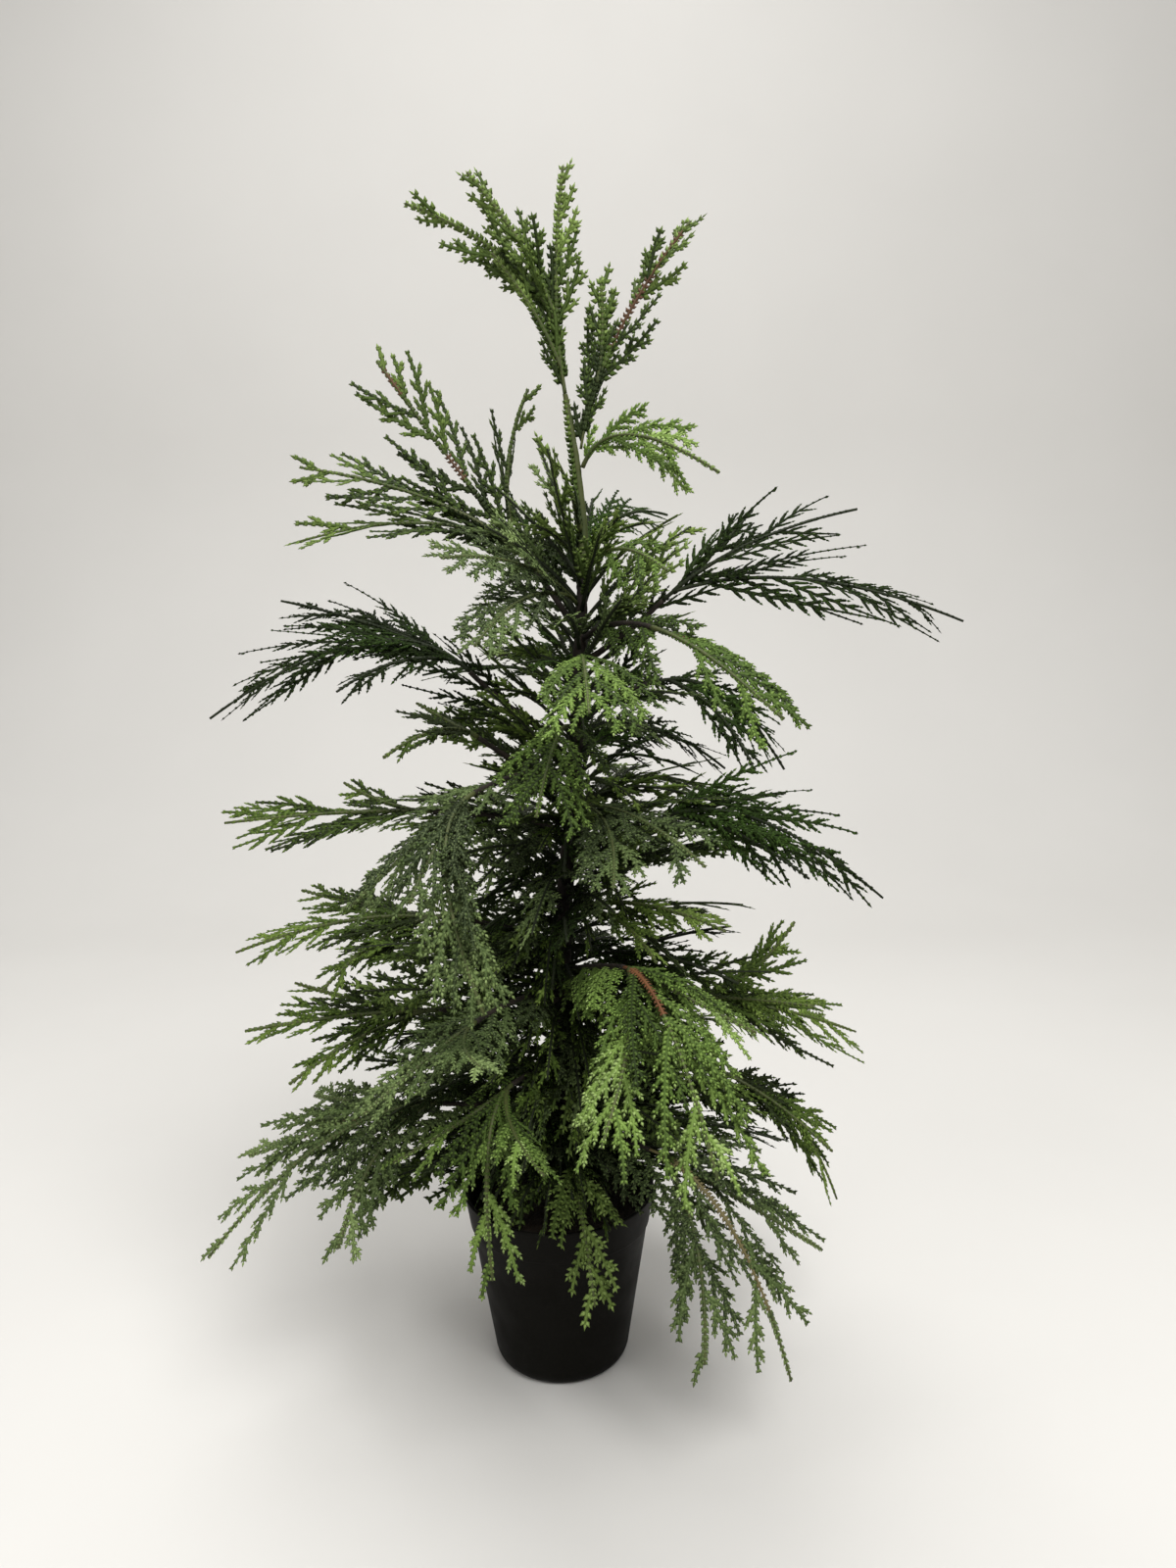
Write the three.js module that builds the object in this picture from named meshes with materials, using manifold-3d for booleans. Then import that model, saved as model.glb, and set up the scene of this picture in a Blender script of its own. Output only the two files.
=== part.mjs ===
// An artificial potted cedar: a tapered black pot with its filling, a leaning stem wound in dark tape,
// wire boughs, and flat sprays of cedar foliage. Millimetres, +Z up, the origin is the centre of the
// pot's underside, and azimuth 0 is +X with azimuth -90 towards the front.
import * as THREE from 'three';
import { mergeVertices } from 'three/addons/utils/BufferGeometryUtils.js';
import Module from 'manifold-3d';

const wasm = await Module();
wasm.setup();

// Pot: a 4 inch round pot, 95 mm high, with a shallow band under its rim.
const potHeight = 95;
const potRimRadius = 51;
const potFootRadius = 36;
const potWall = 1.8;
const potFloor = 3;
const potFootRounding = 7;
const potBandHeight = 18;
const potBandStep = 0.8;
const potRimEdge = 1;
const potLipRounding = 0.4;
const potCornerRise = 4;
const potSides = 24;

// Filling: it stops a little under the rim.
const fillDrop = 11;
const fillMound = 2.5;
const fillFlatRadius = 12;
const fillShoulder = 0.62;
const fillShoulderRise = 0.7;
const fillSides = 24;
const gap = 0.3;

// Trunk: where its middle line is at each height, and how thick it is there.
const trunkTop = 506;
const trunkFlareRadius = 7.5;
const trunkLine = [
  { height: 86.8, lean: 0, radius: trunkFlareRadius },
  { height: 97, lean: 0.4, radius: 5.4 },
  { height: 160, lean: 2.2, radius: 4.9 },
  { height: 240, lean: 4.5, radius: 4.3 },
  { height: 308, lean: 11.5, radius: 3.7 },
  { height: 348, lean: 14, radius: 3.3 },
  { height: 398, lean: 17, radius: 2.7 },
  { height: 442, lean: 19, radius: 2.1 },
  { height: 475, lean: 16, radius: 1.6 },
  { height: trunkTop, lean: 11, radius: 1.2 },
];
const trunkSides = 12;
const trunkSteps = 14;

// Boughs: radii at the trunk and at the tip, and how far along its chord a limb bends.
const boughRadius = 1.7;
const boughTipRadius = 1.2;
const boughSides = 5;
const boughSteps = 3;
const limbBend = 0.45;
const uprightReach = 8;

// Sprays: each stem is the rib of a flat blade that has a slim lobe for every twig.
const forkShare = 0.07;
const forkTurn = 0.5;
const bladeThickness = 1.2;
const ribHalf = 1.1;
const ribTipHalf = 0.6;
const terminalLength = 14;
const terminalWidest = 0.55;
const lobeRootHalf = 0.9;
const lobeRootRoom = 5;
const lobeRootOverlap = 0.1;
const lobeHalf = 3.8;
const lobeSlimness = 0.15;
const lobeWidest = 0.45;
const lobeClearance = 0.75;

// Twigs: their spacing and angle in degrees, their length as a share of the stem's, how much these vary,
// how much the twigs curl forward and inward at the tip, and how far they sag.
const twigSpacing = 8;
const twigShift = 0.5;
const twigAngle = 34;
const twigAngleSpread = 0.2;
const twigShare = 0.52;
const twigSizeSpread = 0.4;
const twigTaper = 0.62;
const twigShortest = 14;
const twigOvershoot = 6;
const twigCurl = 0.12;
const twigTurn = 0.18;
const twigSag = 0.12;
const twigsEnd = 0.97;
const leaflessAtTrunk = 0.22;
const leaflessAtBough = 0.06;

// Each bough leaves the trunk at a height, rises at an angle, and ends at its fork: [azimuth, reach from
// the trunk, height]. Without a fork its foliage starts at the trunk. Each stem of the foliage ends at
// [azimuth, reach, height, twist of its flat side, and where on the first stem it starts, if not at once].
const crown = [
  { name: 'leader', at: trunkTop, rise: 99, tint: 'mid',
    tips: [[0, 1, 610, 90], [-165, 45, 604, 90, 0.34], [174, 76, 597, 70, 0.34], [-170, 34, 570, 80, 0.12]] },
  { name: 'top_right', at: 480, rise: 80, tint: 'mid', tips: [[-5, 57, 583, 80], [10, 14, 560, 80, 0.3]] },
  { name: 'arch_right', at: 471, rise: 62, tint: 'bright', tips: [[-35, 79, 463, 75]] },
  { name: 'upper_left', at: 395, rise: 58, fork: [166, 28, 428], tint: 'mid',
    tips: [[166, 104, 528, -75], [-174, 136, 437, -30], [178, 138, 474, -45], [121, 50, 516, 60]] },
  { name: 'left_front_high', at: 405, rise: 40, tint: 'grey',
    tips: [[-131, 93, 426, -45], [-118, 98, 388, -30]] },
  { name: 'back_right_high', at: 430, rise: 45, tint: 'dark', tips: [[58, 89, 453, 35]] },
  { name: 'crown_small', at: 440, rise: 70, tint: 'grey', tips: [[-114, 27, 470, -60]] },
  { name: 'right_front_high', at: 420, rise: 35, tint: 'bright', tips: [[-64, 84, 419, 40]] },
  { name: 'right_bright', at: 388, rise: 25, fork: [-58, 62, 394], tint: 'bright',
    tips: [[-51, 135, 356, 35], [-39, 96, 379, 35]] },
  { name: 'front_high', at: 374, rise: 20, tint: 'bright', tips: [[-88, 125, 362, 0]] },
  { name: 'right_high', at: 377, rise: 30, fork: [-20, 44, 406], tint: 'dark',
    tips: [[-6, 136, 448, 50], [-11, 185, 394, 40], [13, 92, 451, 50]] },
  { name: 'left_high', at: 335, rise: 28, fork: [180, 53, 372], tint: 'dark',
    tips: [[-175, 181, 352, -35], [171, 154, 409, -35], [157, 130, 400, -35], [-160, 119, 366, -30]] },
  { name: 'right_arch_mid', at: 347, rise: 45, fork: [14, 43, 365], tint: 'dark',
    tips: [[6, 108, 318, 50], [-14, 90, 322, 40]] },
  { name: 'right_back_mid', at: 330, rise: 35, tint: 'dark', tips: [[36, 103, 312, 40], [59, 93, 333, 40]] },
  { name: 'left_mid', at: 310, rise: 30, fork: [-147, 54, 342], tint: 'olive',
    tips: [[-148, 103, 336, -40], [-168, 78, 358, -40]] },
  { name: 'front_mid', at: 340, rise: 25, tint: 'bright', tips: [[-98, 116, 318, 0]] },
  { name: 'left_long', at: 290, rise: 20, fork: [-170, 70, 303], tint: 'olive',
    tips: [[-172, 172, 301, -35], [175, 118, 315, -35]] },
  { name: 'front_left_mid', at: 320, rise: 15, fork: [-121, 86, 322], tint: 'grey',
    tips: [[-106, 136, 238, 0], [-119, 140, 284, -10], [-136, 136, 276, -20]] },
  { name: 'right_mid', at: 270, rise: 35, fork: [-30, 50, 298], tint: 'dark',
    tips: [[-18, 159, 264, 45], [-8, 111, 310, 40], [-32, 132, 279, 45]] },
  { name: 'front_right_mid', at: 302, rise: 15, tint: 'grey',
    tips: [[-62, 122, 294, 15], [-82, 127, 290, 0, 0.12]] },
  { name: 'right_mid_low', at: 248, rise: 25, tint: 'olive', tips: [[-38, 98, 252, 35], [-62, 92, 244, 20]] },
  { name: 'left_low', at: 232, rise: 22, fork: [-171, 60, 247], tint: 'olive',
    tips: [[-175, 167, 232, -35], [174, 139, 257, -35], [-156, 126, 223, -30]] },
  { name: 'left_lower', at: 188, rise: 18, fork: [-168, 64, 199], tint: 'olive',
    tips: [[-169, 161, 196, -35], [178, 141, 209, -35], [-157, 142, 178, -35]] },
  { name: 'front_left_low', at: 204, rise: 20, fork: [-116, 86, 216], tint: 'grey',
    tips: [[-124, 147, 192, -15], [-101, 150, 222, 0]] },
  { name: 'left_bottom', at: 140, rise: 14, fork: [-156, 65, 154], tint: 'grey',
    tips: [[-158, 183, 96, -30], [-167, 161, 132, -35], [176, 134, 144, -35], [-140, 134, 110, -25]] },
  { name: 'front_left_bottom', at: 165, rise: 20, fork: [-112, 60, 176], tint: 'bright',
    tips: [[-106, 109, 104, 0], [-133, 112, 150, -20], [-92, 132, 168, 0]] },
  { name: 'front_bottom', at: 118, rise: 25, tint: 'mid', tips: [[-79, 90, 80, 0]] },
  { name: 'front_right_low', at: 216, rise: 22, fork: [-71, 92, 244], tint: 'bright',
    tips: [[-69, 177, 182, 15], [-84, 172, 199, 0], [-53, 142, 222, 20]] },
  { name: 'right_low', at: 196, rise: 15, fork: [0, 62, 200], tint: 'olive',
    tips: [[7, 126, 235, 60], [14, 170, 163, 40], [-11, 130, 202, 40]] },
  { name: 'right_lower', at: 155, rise: 20, fork: [0, 82, 158], tint: 'olive',
    tips: [[0, 148, 84, 35], [-12, 142, 126, 35]] },
  { name: 'right_bottom', at: 132, rise: 8, fork: [-47, 66, 138], tint: 'grey',
    tips: [[-38, 139, 38, 25], [-21, 140, 84, 30], [-59, 128, 64, 10]] },
  { name: 'back_high', at: 412, rise: 48, tint: 'mid', tips: [[100, 108, 432, 0], [136, 96, 446, 0]] },
  { name: 'back_left_high', at: 358, rise: 40, tint: 'dark', tips: [[112, 138, 372, 0], [138, 120, 366, 0]] },
  { name: 'back_right_mid', at: 296, rise: 35, tint: 'olive', tips: [[48, 142, 282, 0], [76, 134, 306, 0]] },
  { name: 'back_mid', at: 262, rise: 26, fork: [112, 54, 284], tint: 'grey',
    tips: [[98, 156, 250, 0], [124, 150, 262, 0], [150, 136, 284, 0]] },
  { name: 'back_left_low', at: 210, rise: 28, tint: 'mid', tips: [[128, 162, 186, 0], [148, 150, 200, 0]] },
  { name: 'back_right_low', at: 172, rise: 20, fork: [66, 62, 190], tint: 'bright',
    tips: [[40, 158, 140, 0], [70, 168, 150, 0], [94, 160, 128, 0]] },
];

const material = (color, roughness) => new THREE.MeshStandardMaterial({ color, roughness, metalness: 0 });
const potMaterial = material(0x191816, 0.6);
const fillMaterial = material(0x221d18, 0.95);
const trunkMaterial = material(0x2a221d, 0.85);
const boughMaterial = material(0x3b4a2a, 0.8);
const foliageMaterials = {
  bright: material(0x6c8f42, 0.6),
  mid: material(0x4f7236, 0.6),
  olive: material(0x4d5f28, 0.6),
  grey: material(0x5a7a5c, 0.65),
  dark: material(0x31462f, 0.65),
};

// A closed geometry as a solid, and a solid as a geometry.
function toSolid(geometry) {
  const bare = geometry.clone();
  bare.deleteAttribute('normal');
  bare.deleteAttribute('uv');
  const merged = mergeVertices(bare, 1e-4);
  return new wasm.Manifold(new wasm.Mesh({
    numProp: 3,
    vertProperties: new Float32Array(merged.attributes.position.array),
    triVerts: new Uint32Array(merged.index.array),
  }));
}

function toGeometry(solid) {
  const mesh = solid.getMesh();
  const geometry = new THREE.BufferGeometry();
  geometry.setAttribute('position', new THREE.BufferAttribute(new Float32Array(mesh.vertProperties), 3));
  geometry.setIndex(new THREE.BufferAttribute(new Uint32Array(mesh.triVerts), 1));
  geometry.computeVertexNormals();
  return geometry;
}

// A repeatable number from 0 to 1 for each set of whole-number keys.
function chance(...keys) {
  let a = 2166136261;
  for (const key of keys) a = Math.imul(a ^ (key + 1), 16777619);
  a = (a + 0x6d2b79f5) | 0;
  let t = Math.imul(a ^ (a >>> 15), 1 | a);
  t = (t + Math.imul(t ^ (t >>> 7), 61 | t)) ^ t;
  return ((t ^ (t >>> 14)) >>> 0) / 4294967296;
}

const radians = THREE.MathUtils.degToRad;
const up = new THREE.Vector3(0, 0, 1);
const mix = (a, b, t) => a + (b - a) * t;

function alongTrunk(height, key) {
  const last = trunkLine.length - 1;
  const i = Math.min(last - 1, Math.max(0, trunkLine.findIndex((p) => p.height > height) - 1));
  const upper = height >= trunkLine[last].height ? last - 1 : i;
  const [a, b] = [trunkLine[upper], trunkLine[upper + 1]];
  return mix(a[key], b[key], (height - a.height) / (b.height - a.height));
}

const trunkPoint = (height) => new THREE.Vector3(alongTrunk(height, 'lean'), 0, height);

function direction(azimuth, rise) {
  const [a, r] = [radians(azimuth), radians(rise)];
  return new THREE.Vector3(Math.cos(r) * Math.cos(a), Math.cos(r) * Math.sin(a), Math.sin(r));
}

function crownPoint(from, azimuth, reach, height) {
  const p = direction(azimuth, 0).multiplyScalar(reach);
  return new THREE.Vector3(alongTrunk(from, 'lean') + p.x, p.y, height);
}

// The side vector of a flat spray on a stem, square to the stem and turned by the spray's twist.
function sideVector(stem, tangent) {
  const across = new THREE.Vector3().crossVectors(tangent, stem.level);
  const side = stem.level.clone().multiplyScalar(Math.cos(stem.twist));
  side.addScaledVector(across, Math.sin(stem.twist));
  return side.addScaledVector(tangent, -side.dot(tangent)).normalize();
}

// A closed tapered tube along a curve: a cylinder whose rings are moved onto the curve.
function taperedTube(curve, radiusAt, sides, steps, level) {
  const geometry = new THREE.CylinderGeometry(1, 1, 1, sides, steps);
  const position = geometry.attributes.position;
  const point = new THREE.Vector3();
  for (let i = 0; i < position.count; i += 1) {
    const t = position.getY(i) + 0.5;
    const tangent = curve.getTangent(t);
    const across = new THREE.Vector3().crossVectors(tangent, level).normalize();
    const side = new THREE.Vector3().crossVectors(across, tangent).normalize();
    const radius = radiusAt(t);
    point.copy(curve.getPoint(t));
    point.addScaledVector(side, position.getX(i) * radius);
    point.addScaledVector(across, -position.getZ(i) * radius);
    position.setXYZ(i, point.x, point.y, point.z);
  }
  return geometry;
}

// The frame of a spray at a distance along its stem: its place, its tangent, its side and its face.
function frameAt(stem, along) {
  const t = along / stem.length;
  const tangent = stem.curve.getTangent(t);
  const side = sideVector(stem, tangent);
  return { along, point: stem.curve.getPoint(t), tangent, side, normal: tangent.clone().cross(side) };
}

// A corner of a blade at [along, aside], laid out from a frame of its stem.
function corner(frame, along, aside) {
  const point = frame.point.clone().addScaledVector(frame.tangent, along - frame.along);
  point.addScaledVector(frame.side, aside).addScaledVector(up, -twigSag * Math.abs(aside));
  return { along, point, normal: frame.normal };
}

// A closed thin plate: a rim of corners that runs anticlockwise, and the triples of them that fill it.
function plate(rim, triples) {
  const count = rim.length;
  const faces = triples.flatMap((triple) => {
    const [a, b, c] = triple.map((one) => rim.indexOf(one));
    return [a, b, c, count + c, count + b, count + a];
  });
  rim.forEach((_, a) => {
    const b = (a + 1) % count;
    faces.push(a, count + a, count + b, a, count + b, b);
  });
  const points = [0.5, -0.5].flatMap((lift) => (
    rim.map(({ point, normal }) => point.clone().addScaledVector(normal, lift * bladeThickness))));
  return new THREE.BufferGeometry().setFromPoints(points).setIndex(faces);
}

// A point of a twig's line on its spray, as [along, aside].
function twigPoint({ from, angle, reach }, share) {
  const along = from + reach * share * (Math.cos(angle) + twigCurl * share);
  return [along, reach * share * Math.sin(angle) * (1 - twigTurn * share)];
}

// One twig's lobe: two corners on the rib, two where it is widest, and its tip.
function lobeOf(stem, twig) {
  const [cos, sin] = [Math.cos(twig.angle), Math.sin(twig.angle)];
  const root = twig.from + (ribHalf * cos) / sin;
  const [along, aside] = twigPoint(twig, lobeWidest);
  const half = Math.min(lobeHalf, twig.reach * lobeSlimness, (aside - ribHalf) * lobeClearance);
  const [tipAlong, tipAside] = twigPoint(twig, 1);
  const frame = frameAt(stem, twig.from);
  const onRib = (x) => corner(frameAt(stem, x), x, ribHalf * twig.sign);
  const offRib = (x, y) => corner(frame, x, y * twig.sign);
  const back = onRib(root - lobeRootHalf / sin);
  const wideBack = offRib(along - half * sin, aside + half * cos);
  const tip = offRib(tipAlong, tipAside);
  const wideFront = offRib(along + half * sin, aside - half * cos);
  const front = onRib(root + lobeRootHalf / sin);
  const triples = [[back, front, wideFront], [back, wideFront, wideBack], [wideBack, wideFront, tip]];
  if (twig.sign < 0) triples.forEach((triple) => triple.reverse());
  return { sign: twig.sign, corners: [back, wideBack, tip, wideFront, front], triples, grown: true };
}

function lobeGeometry({ sign, corners, triples }) {
  return plate(sign > 0 ? corners.slice().reverse() : corners, triples);
}

// A stem's blade: its rib is filled from edge to edge, and the lobes that are grown stand out of it. A
// lobe that isn't grown still gives the rib a corner, so that it follows the stem's bend.
function bladeGeometry(stem, lobes) {
  const onRib = (x, y) => corner(frameAt(stem, x), x, y);
  const tip = onRib(stem.length, 0);
  const sides = [-1, 1].map((sign) => {
    const own = lobes.filter((lobe) => lobe.sign === sign);
    const start = onRib(0, ribHalf * sign);
    const end = [
      onRib(stem.length - terminalLength, ribTipHalf * sign),
      onRib(stem.length - terminalLength * terminalWidest, terminalLength * lobeSlimness * sign),
    ];
    const inner = ({ corners, grown }) => (grown ? [corners[0], corners[4]] : [corners[0]]);
    return {
      rim: [start, ...own.flatMap((lobe) => (lobe.grown ? lobe.corners : inner(lobe))), ...end],
      edge: [start, ...own.flatMap(inner), ...end, tip],
    };
  });
  const [right, left] = sides.map(({ edge }) => edge);
  const triples = lobes.filter(({ grown }) => grown).flatMap((lobe) => lobe.triples);
  let i = 0;
  let j = 0;
  while (right[i] !== tip || left[j] !== tip) {
    const onLeft = right[i] === tip || (left[j] !== tip && left[j + 1].along < right[i + 1].along);
    triples.push([left[j], right[i], onLeft ? left[j + 1] : right[i + 1]]);
    if (onLeft) j += 1;
    else i += 1;
  }
  return plate([...sides[0].rim, tip, ...sides[1].rim.reverse()], triples);
}

// The bough of a row, and its stems: the first starts at the bough's tip or the trunk, and the rest fork
// from the first.
function limbsOf(row) {
  const middle = trunkPoint(row.at);
  const first = row.fork ? row.fork[0] : row.tips[0][0];
  const away = direction(first, row.rise);
  const trunkRadius = alongTrunk(row.at, 'radius');
  const twist = radians(row.tips[0][3]);
  const ribReach = Math.abs(Math.sin(twist)) * ribHalf + Math.abs(Math.cos(twist)) * (bladeThickness / 2);
  const limbReach = row.fork ? boughRadius : ribReach;
  const clear = trunkRadius + gap + limbReach * Math.sin(radians(row.rise));
  const start = row.at >= trunkTop
    ? middle.clone().addScaledVector(up, gap)
    : middle.clone().addScaledVector(direction(first, 0), clear);
  let bough = null;
  let root = start;
  let heading = away;
  if (row.fork) {
    const end = crownPoint(row.at, ...row.fork);
    const knee = start.clone().addScaledVector(away, start.distanceTo(end) * limbBend);
    bough = new THREE.QuadraticBezierCurve3(start, knee, end);
    heading = end.clone().sub(knee).normalize();
    root = end.clone().addScaledVector(heading, gap);
  }
  const stems = [];
  for (const [azimuth, reach, height, twist, share = forkShare] of row.tips) {
    const from = stems.length ? stems[0].curve.getPoint(share) : root;
    const tip = crownPoint(row.at, azimuth, reach, height);
    const chord = tip.clone().sub(from);
    const leave = heading.clone();
    if (stems.length) {
      leave.copy(stems[0].curve.getTangent(share)).lerp(chord.clone().normalize(), forkTurn).normalize();
    }
    const knee = from.clone().addScaledVector(leave, chord.length() * limbBend);
    const upright = Math.hypot(chord.x, chord.y) < uprightReach;
    const flat = upright ? radians(azimuth) : Math.atan2(chord.y, chord.x);
    const curve = new THREE.QuadraticBezierCurve3(from, knee, tip);
    stems.push({
      curve,
      length: curve.getLength(),
      level: new THREE.Vector3(-Math.sin(flat), Math.cos(flat), 0),
      twist: radians(twist),
      bare: row.fork || share > forkShare ? leaflessAtBough : leaflessAtTrunk,
    });
  }
  return { bough, stems };
}

// The twigs of a stem, on alternate sides.
function twigsOf(rowIndex, stemIndex, { length, bare }) {
  const count = 2 * Math.max(3, Math.round((length * (1 - bare)) / twigSpacing / 2));
  const twigs = [];
  for (let k = 0; k < count; k += 1) {
    const [shift, size, turn] = [1, 2, 3].map((key) => chance(rowIndex, stemIndex, k, key) - 0.5);
    const t = bare + ((twigsEnd - bare) * (k + 0.5 + twigShift * shift)) / count;
    const wide = length * twigShare * (1 - twigTaper * t) * (1 + twigSizeSpread * size);
    twigs.push({
      from: length * t,
      angle: radians(twigAngle * (1 + twigAngleSpread * turn)),
      reach: Math.max(twigShortest, Math.min(wide, length * (1 - t) + twigOvershoot)),
      sign: k % 2 ? -1 : 1,
    });
  }
  return twigs;
}

// Pot: a wall with its floor, turned from one closed profile.
function potGeometry() {
  const slope = (potRimRadius - potFootRadius) / potHeight;
  const outer = (z) => potFootRadius + slope * z;
  const bandLine = potHeight - potBandHeight;
  const profile = new THREE.Path();
  profile.moveTo(0, 0);
  profile.lineTo(potFootRadius - potFootRounding, 0);
  profile.quadraticCurveTo(potFootRadius - 1, 0.2, outer(potFootRounding) - potBandStep, potFootRounding);
  profile.lineTo(outer(bandLine) - potBandStep, bandLine);
  profile.lineTo(outer(bandLine + potRimEdge), bandLine + potRimEdge);
  profile.lineTo(potRimRadius, potHeight - potRimEdge);
  profile.lineTo(potRimRadius - potLipRounding, potHeight);
  profile.lineTo(potRimRadius - potWall + potLipRounding / 2, potHeight);
  profile.lineTo(outer(potFloor + potCornerRise) - potWall - potBandStep, potFloor + potCornerRise);
  profile.lineTo(potFootRadius - potFootRounding, potFloor);
  profile.lineTo(0, potFloor);
  const geometry = new THREE.LatheGeometry(profile.getPoints(3), potSides);
  return geometry.rotateX(Math.PI / 2);
}

// Filling: it follows the pot's inside a gap away, with a low mound and a flat middle.
function fillGeometry() {
  const slope = (potRimRadius - potFootRadius) / potHeight;
  const inner = (z) => potFootRadius + slope * z - potWall - potBandStep - 2 * gap;
  const top = potHeight - fillDrop;
  const profile = [
    [0, potFloor + gap],
    [potFootRadius - potFootRounding - gap, potFloor + gap],
    [inner(potFloor + potCornerRise + 1), potFloor + potCornerRise + 1],
    [inner(top), top],
    [inner(top) * fillShoulder, top + fillMound * fillShoulderRise],
    [fillFlatRadius, top + fillMound],
    [0, top + fillMound],
  ].map(([r, z]) => new THREE.Vector2(r, z));
  return new THREE.LatheGeometry(profile, fillSides).rotateX(Math.PI / 2);
}

function trunkGeometry() {
  const line = new THREE.CatmullRomCurve3(trunkLine.map((p) => new THREE.Vector3(p.lean, 0, p.height)));
  const radiusAt = (t) => alongTrunk(line.getPoint(t).z, 'radius');
  const geometry = taperedTube(line, radiusAt, trunkSides, trunkSteps, new THREE.Vector3(0, 1, 0));
  const position = geometry.attributes.position;
  for (let i = 0; i < position.count; i += 1) {
    if (position.getZ(i) < trunkLine[0].height + 1) position.setZ(i, trunkLine[0].height);
  }
  return geometry;
}

const tree = new THREE.Group();
function add(name, geometry, look) {
  const mesh = new THREE.Mesh(geometry, look);
  mesh.name = name;
  tree.add(mesh);
}

// A solid with its box, so that far pieces are passed over quickly.
const placed = [];
function touches(solid, allowed) {
  const box = solid.boundingBox();
  return placed.find((other) => !allowed(other)
    && [0, 1, 2].every((i) => box.min[i] <= other.box.max[i] && box.max[i] >= other.box.min[i])
    && solid.intersect(other.solid).volume() > 0);
}
function place(solid, owner) {
  placed.push({ solid, owner, box: solid.boundingBox() });
}

add('pot', potGeometry(), potMaterial);
add('potting_fill', fillGeometry(), fillMaterial);
add('trunk', trunkGeometry(), trunkMaterial);
for (const mesh of tree.children) place(toSolid(mesh.geometry), mesh.name);

// Limbs first, so that every spray grows clear of them.
const sprays = crown.map((row, rowIndex) => {
  const { bough, stems } = limbsOf(row);
  if (bough) {
    const level = new THREE.Vector3().crossVectors(up, direction(row.fork[0], 0));
    const radiusAt = (t) => mix(boughRadius, boughTipRadius, t);
    const geometry = taperedTube(bough, radiusAt, boughSides, boughSteps, level);
    const hit = touches(toSolid(geometry), () => false);
    if (hit) throw new Error('bough_' + row.name + ' touches ' + hit.owner);
    add('bough_' + row.name, geometry, boughMaterial);
    place(toSolid(geometry), 'bough_' + row.name);
  }
  const owner = 'spray_' + row.name;
  const lobes = stems.map((stem, stemIndex) => {
    const room = stem.length - terminalLength - lobeRootRoom;
    const twigs = twigsOf(rowIndex, stemIndex, stem).filter((twig) => twig.from < room);
    return twigs.map((twig) => lobeOf(stem, twig));
  });
  const bare = (lobe) => ({ ...lobe, grown: false });
  const ribs = stems.map((stem, i) => toSolid(bladeGeometry(stem, lobes[i].map(bare))));
  return { row, owner, stems, lobes, ribs };
});
const clashes = [];
for (const { owner, ribs } of sprays) {
  for (const solid of ribs) {
    const hit = touches(solid, (other) => other.owner === owner);
    if (hit) clashes.push(owner + ' touches ' + hit.owner);
    place(solid, owner);
  }
}
if (clashes.length) throw new Error(clashes.join('\n'));

// Foliage: twigs are tried in turn, and one that would touch another spray or a limb is skipped.
for (const { row, owner, stems, lobes, ribs } of sprays) {
  const blades = stems.map((stem, i) => {
    for (const lobe of lobes[i]) {
      const solid = toSolid(lobeGeometry(lobe));
      const overRib = solid.intersect(ribs[i]).volume() > lobeRootOverlap;
      lobe.grown = !overRib && !touches(solid, (other) => other.solid === ribs[i]);
      if (lobe.grown) place(solid, owner);
    }
    return toSolid(bladeGeometry(stem, lobes[i]));
  });
  const mass = blades.reduce((whole, blade) => whole.add(blade));
  const whole = mass.decompose().sort((a, b) => b.volume() - a.volume())[0];
  add(owner, toGeometry(whole), foliageMaterials[row.tint]);
}

export default tree;
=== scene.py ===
import math

import bpy
import numpy as np
from mathutils import Matrix, Vector, noise


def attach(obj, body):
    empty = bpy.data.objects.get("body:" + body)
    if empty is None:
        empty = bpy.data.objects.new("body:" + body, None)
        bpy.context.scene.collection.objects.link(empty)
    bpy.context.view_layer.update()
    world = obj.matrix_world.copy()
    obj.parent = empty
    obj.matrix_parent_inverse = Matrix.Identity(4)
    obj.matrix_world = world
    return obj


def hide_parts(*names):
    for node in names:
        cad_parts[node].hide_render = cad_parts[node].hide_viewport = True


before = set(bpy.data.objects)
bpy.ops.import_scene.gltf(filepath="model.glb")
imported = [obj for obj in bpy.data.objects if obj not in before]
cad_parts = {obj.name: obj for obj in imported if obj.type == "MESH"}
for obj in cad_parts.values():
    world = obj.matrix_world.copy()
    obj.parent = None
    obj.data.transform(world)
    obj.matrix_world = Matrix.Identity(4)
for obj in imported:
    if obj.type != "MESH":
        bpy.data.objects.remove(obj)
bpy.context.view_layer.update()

mm = 0.001
up = np.array([0.0, 0.0, 1.0])


# Small helpers.

def linear(colour):
    # 0-255 screen colour to the values that a shader takes
    shares = [value / 255 for value in colour]
    return [s / 12.92 if s <= 0.04045 else ((s + 0.055) / 1.055) ** 2.4 for s in shares] + [1.0]


def unit(vector):
    return vector / np.linalg.norm(vector, axis=-1, keepdims=True)


def between(low, high, share):
    return low + (high - low) * share


def onCurve(curve, t):
    # a curve is its start, its knee and its end
    t = np.asarray(t, float)[..., None]
    return curve[0] * (1 - t) ** 2 + 2 * curve[1] * t * (1 - t) + curve[2] * t * t


def clearSelection():
    bpy.ops.object.select_all(action="DESELECT")


def keep(piece, nodes):
    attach(piece, "root")
    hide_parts(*nodes)
    return piece


def apply(piece, kind, name, **settings):
    modifier = piece.modifiers.new(name, kind)
    for key, value in settings.items():
        setattr(modifier, key, value)
    bpy.context.view_layer.objects.active = piece
    bpy.ops.object.modifier_apply(modifier=modifier.name)


# Materials: a base colour that varies, uneven roughness and a fine relief, all on object coordinates.

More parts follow.
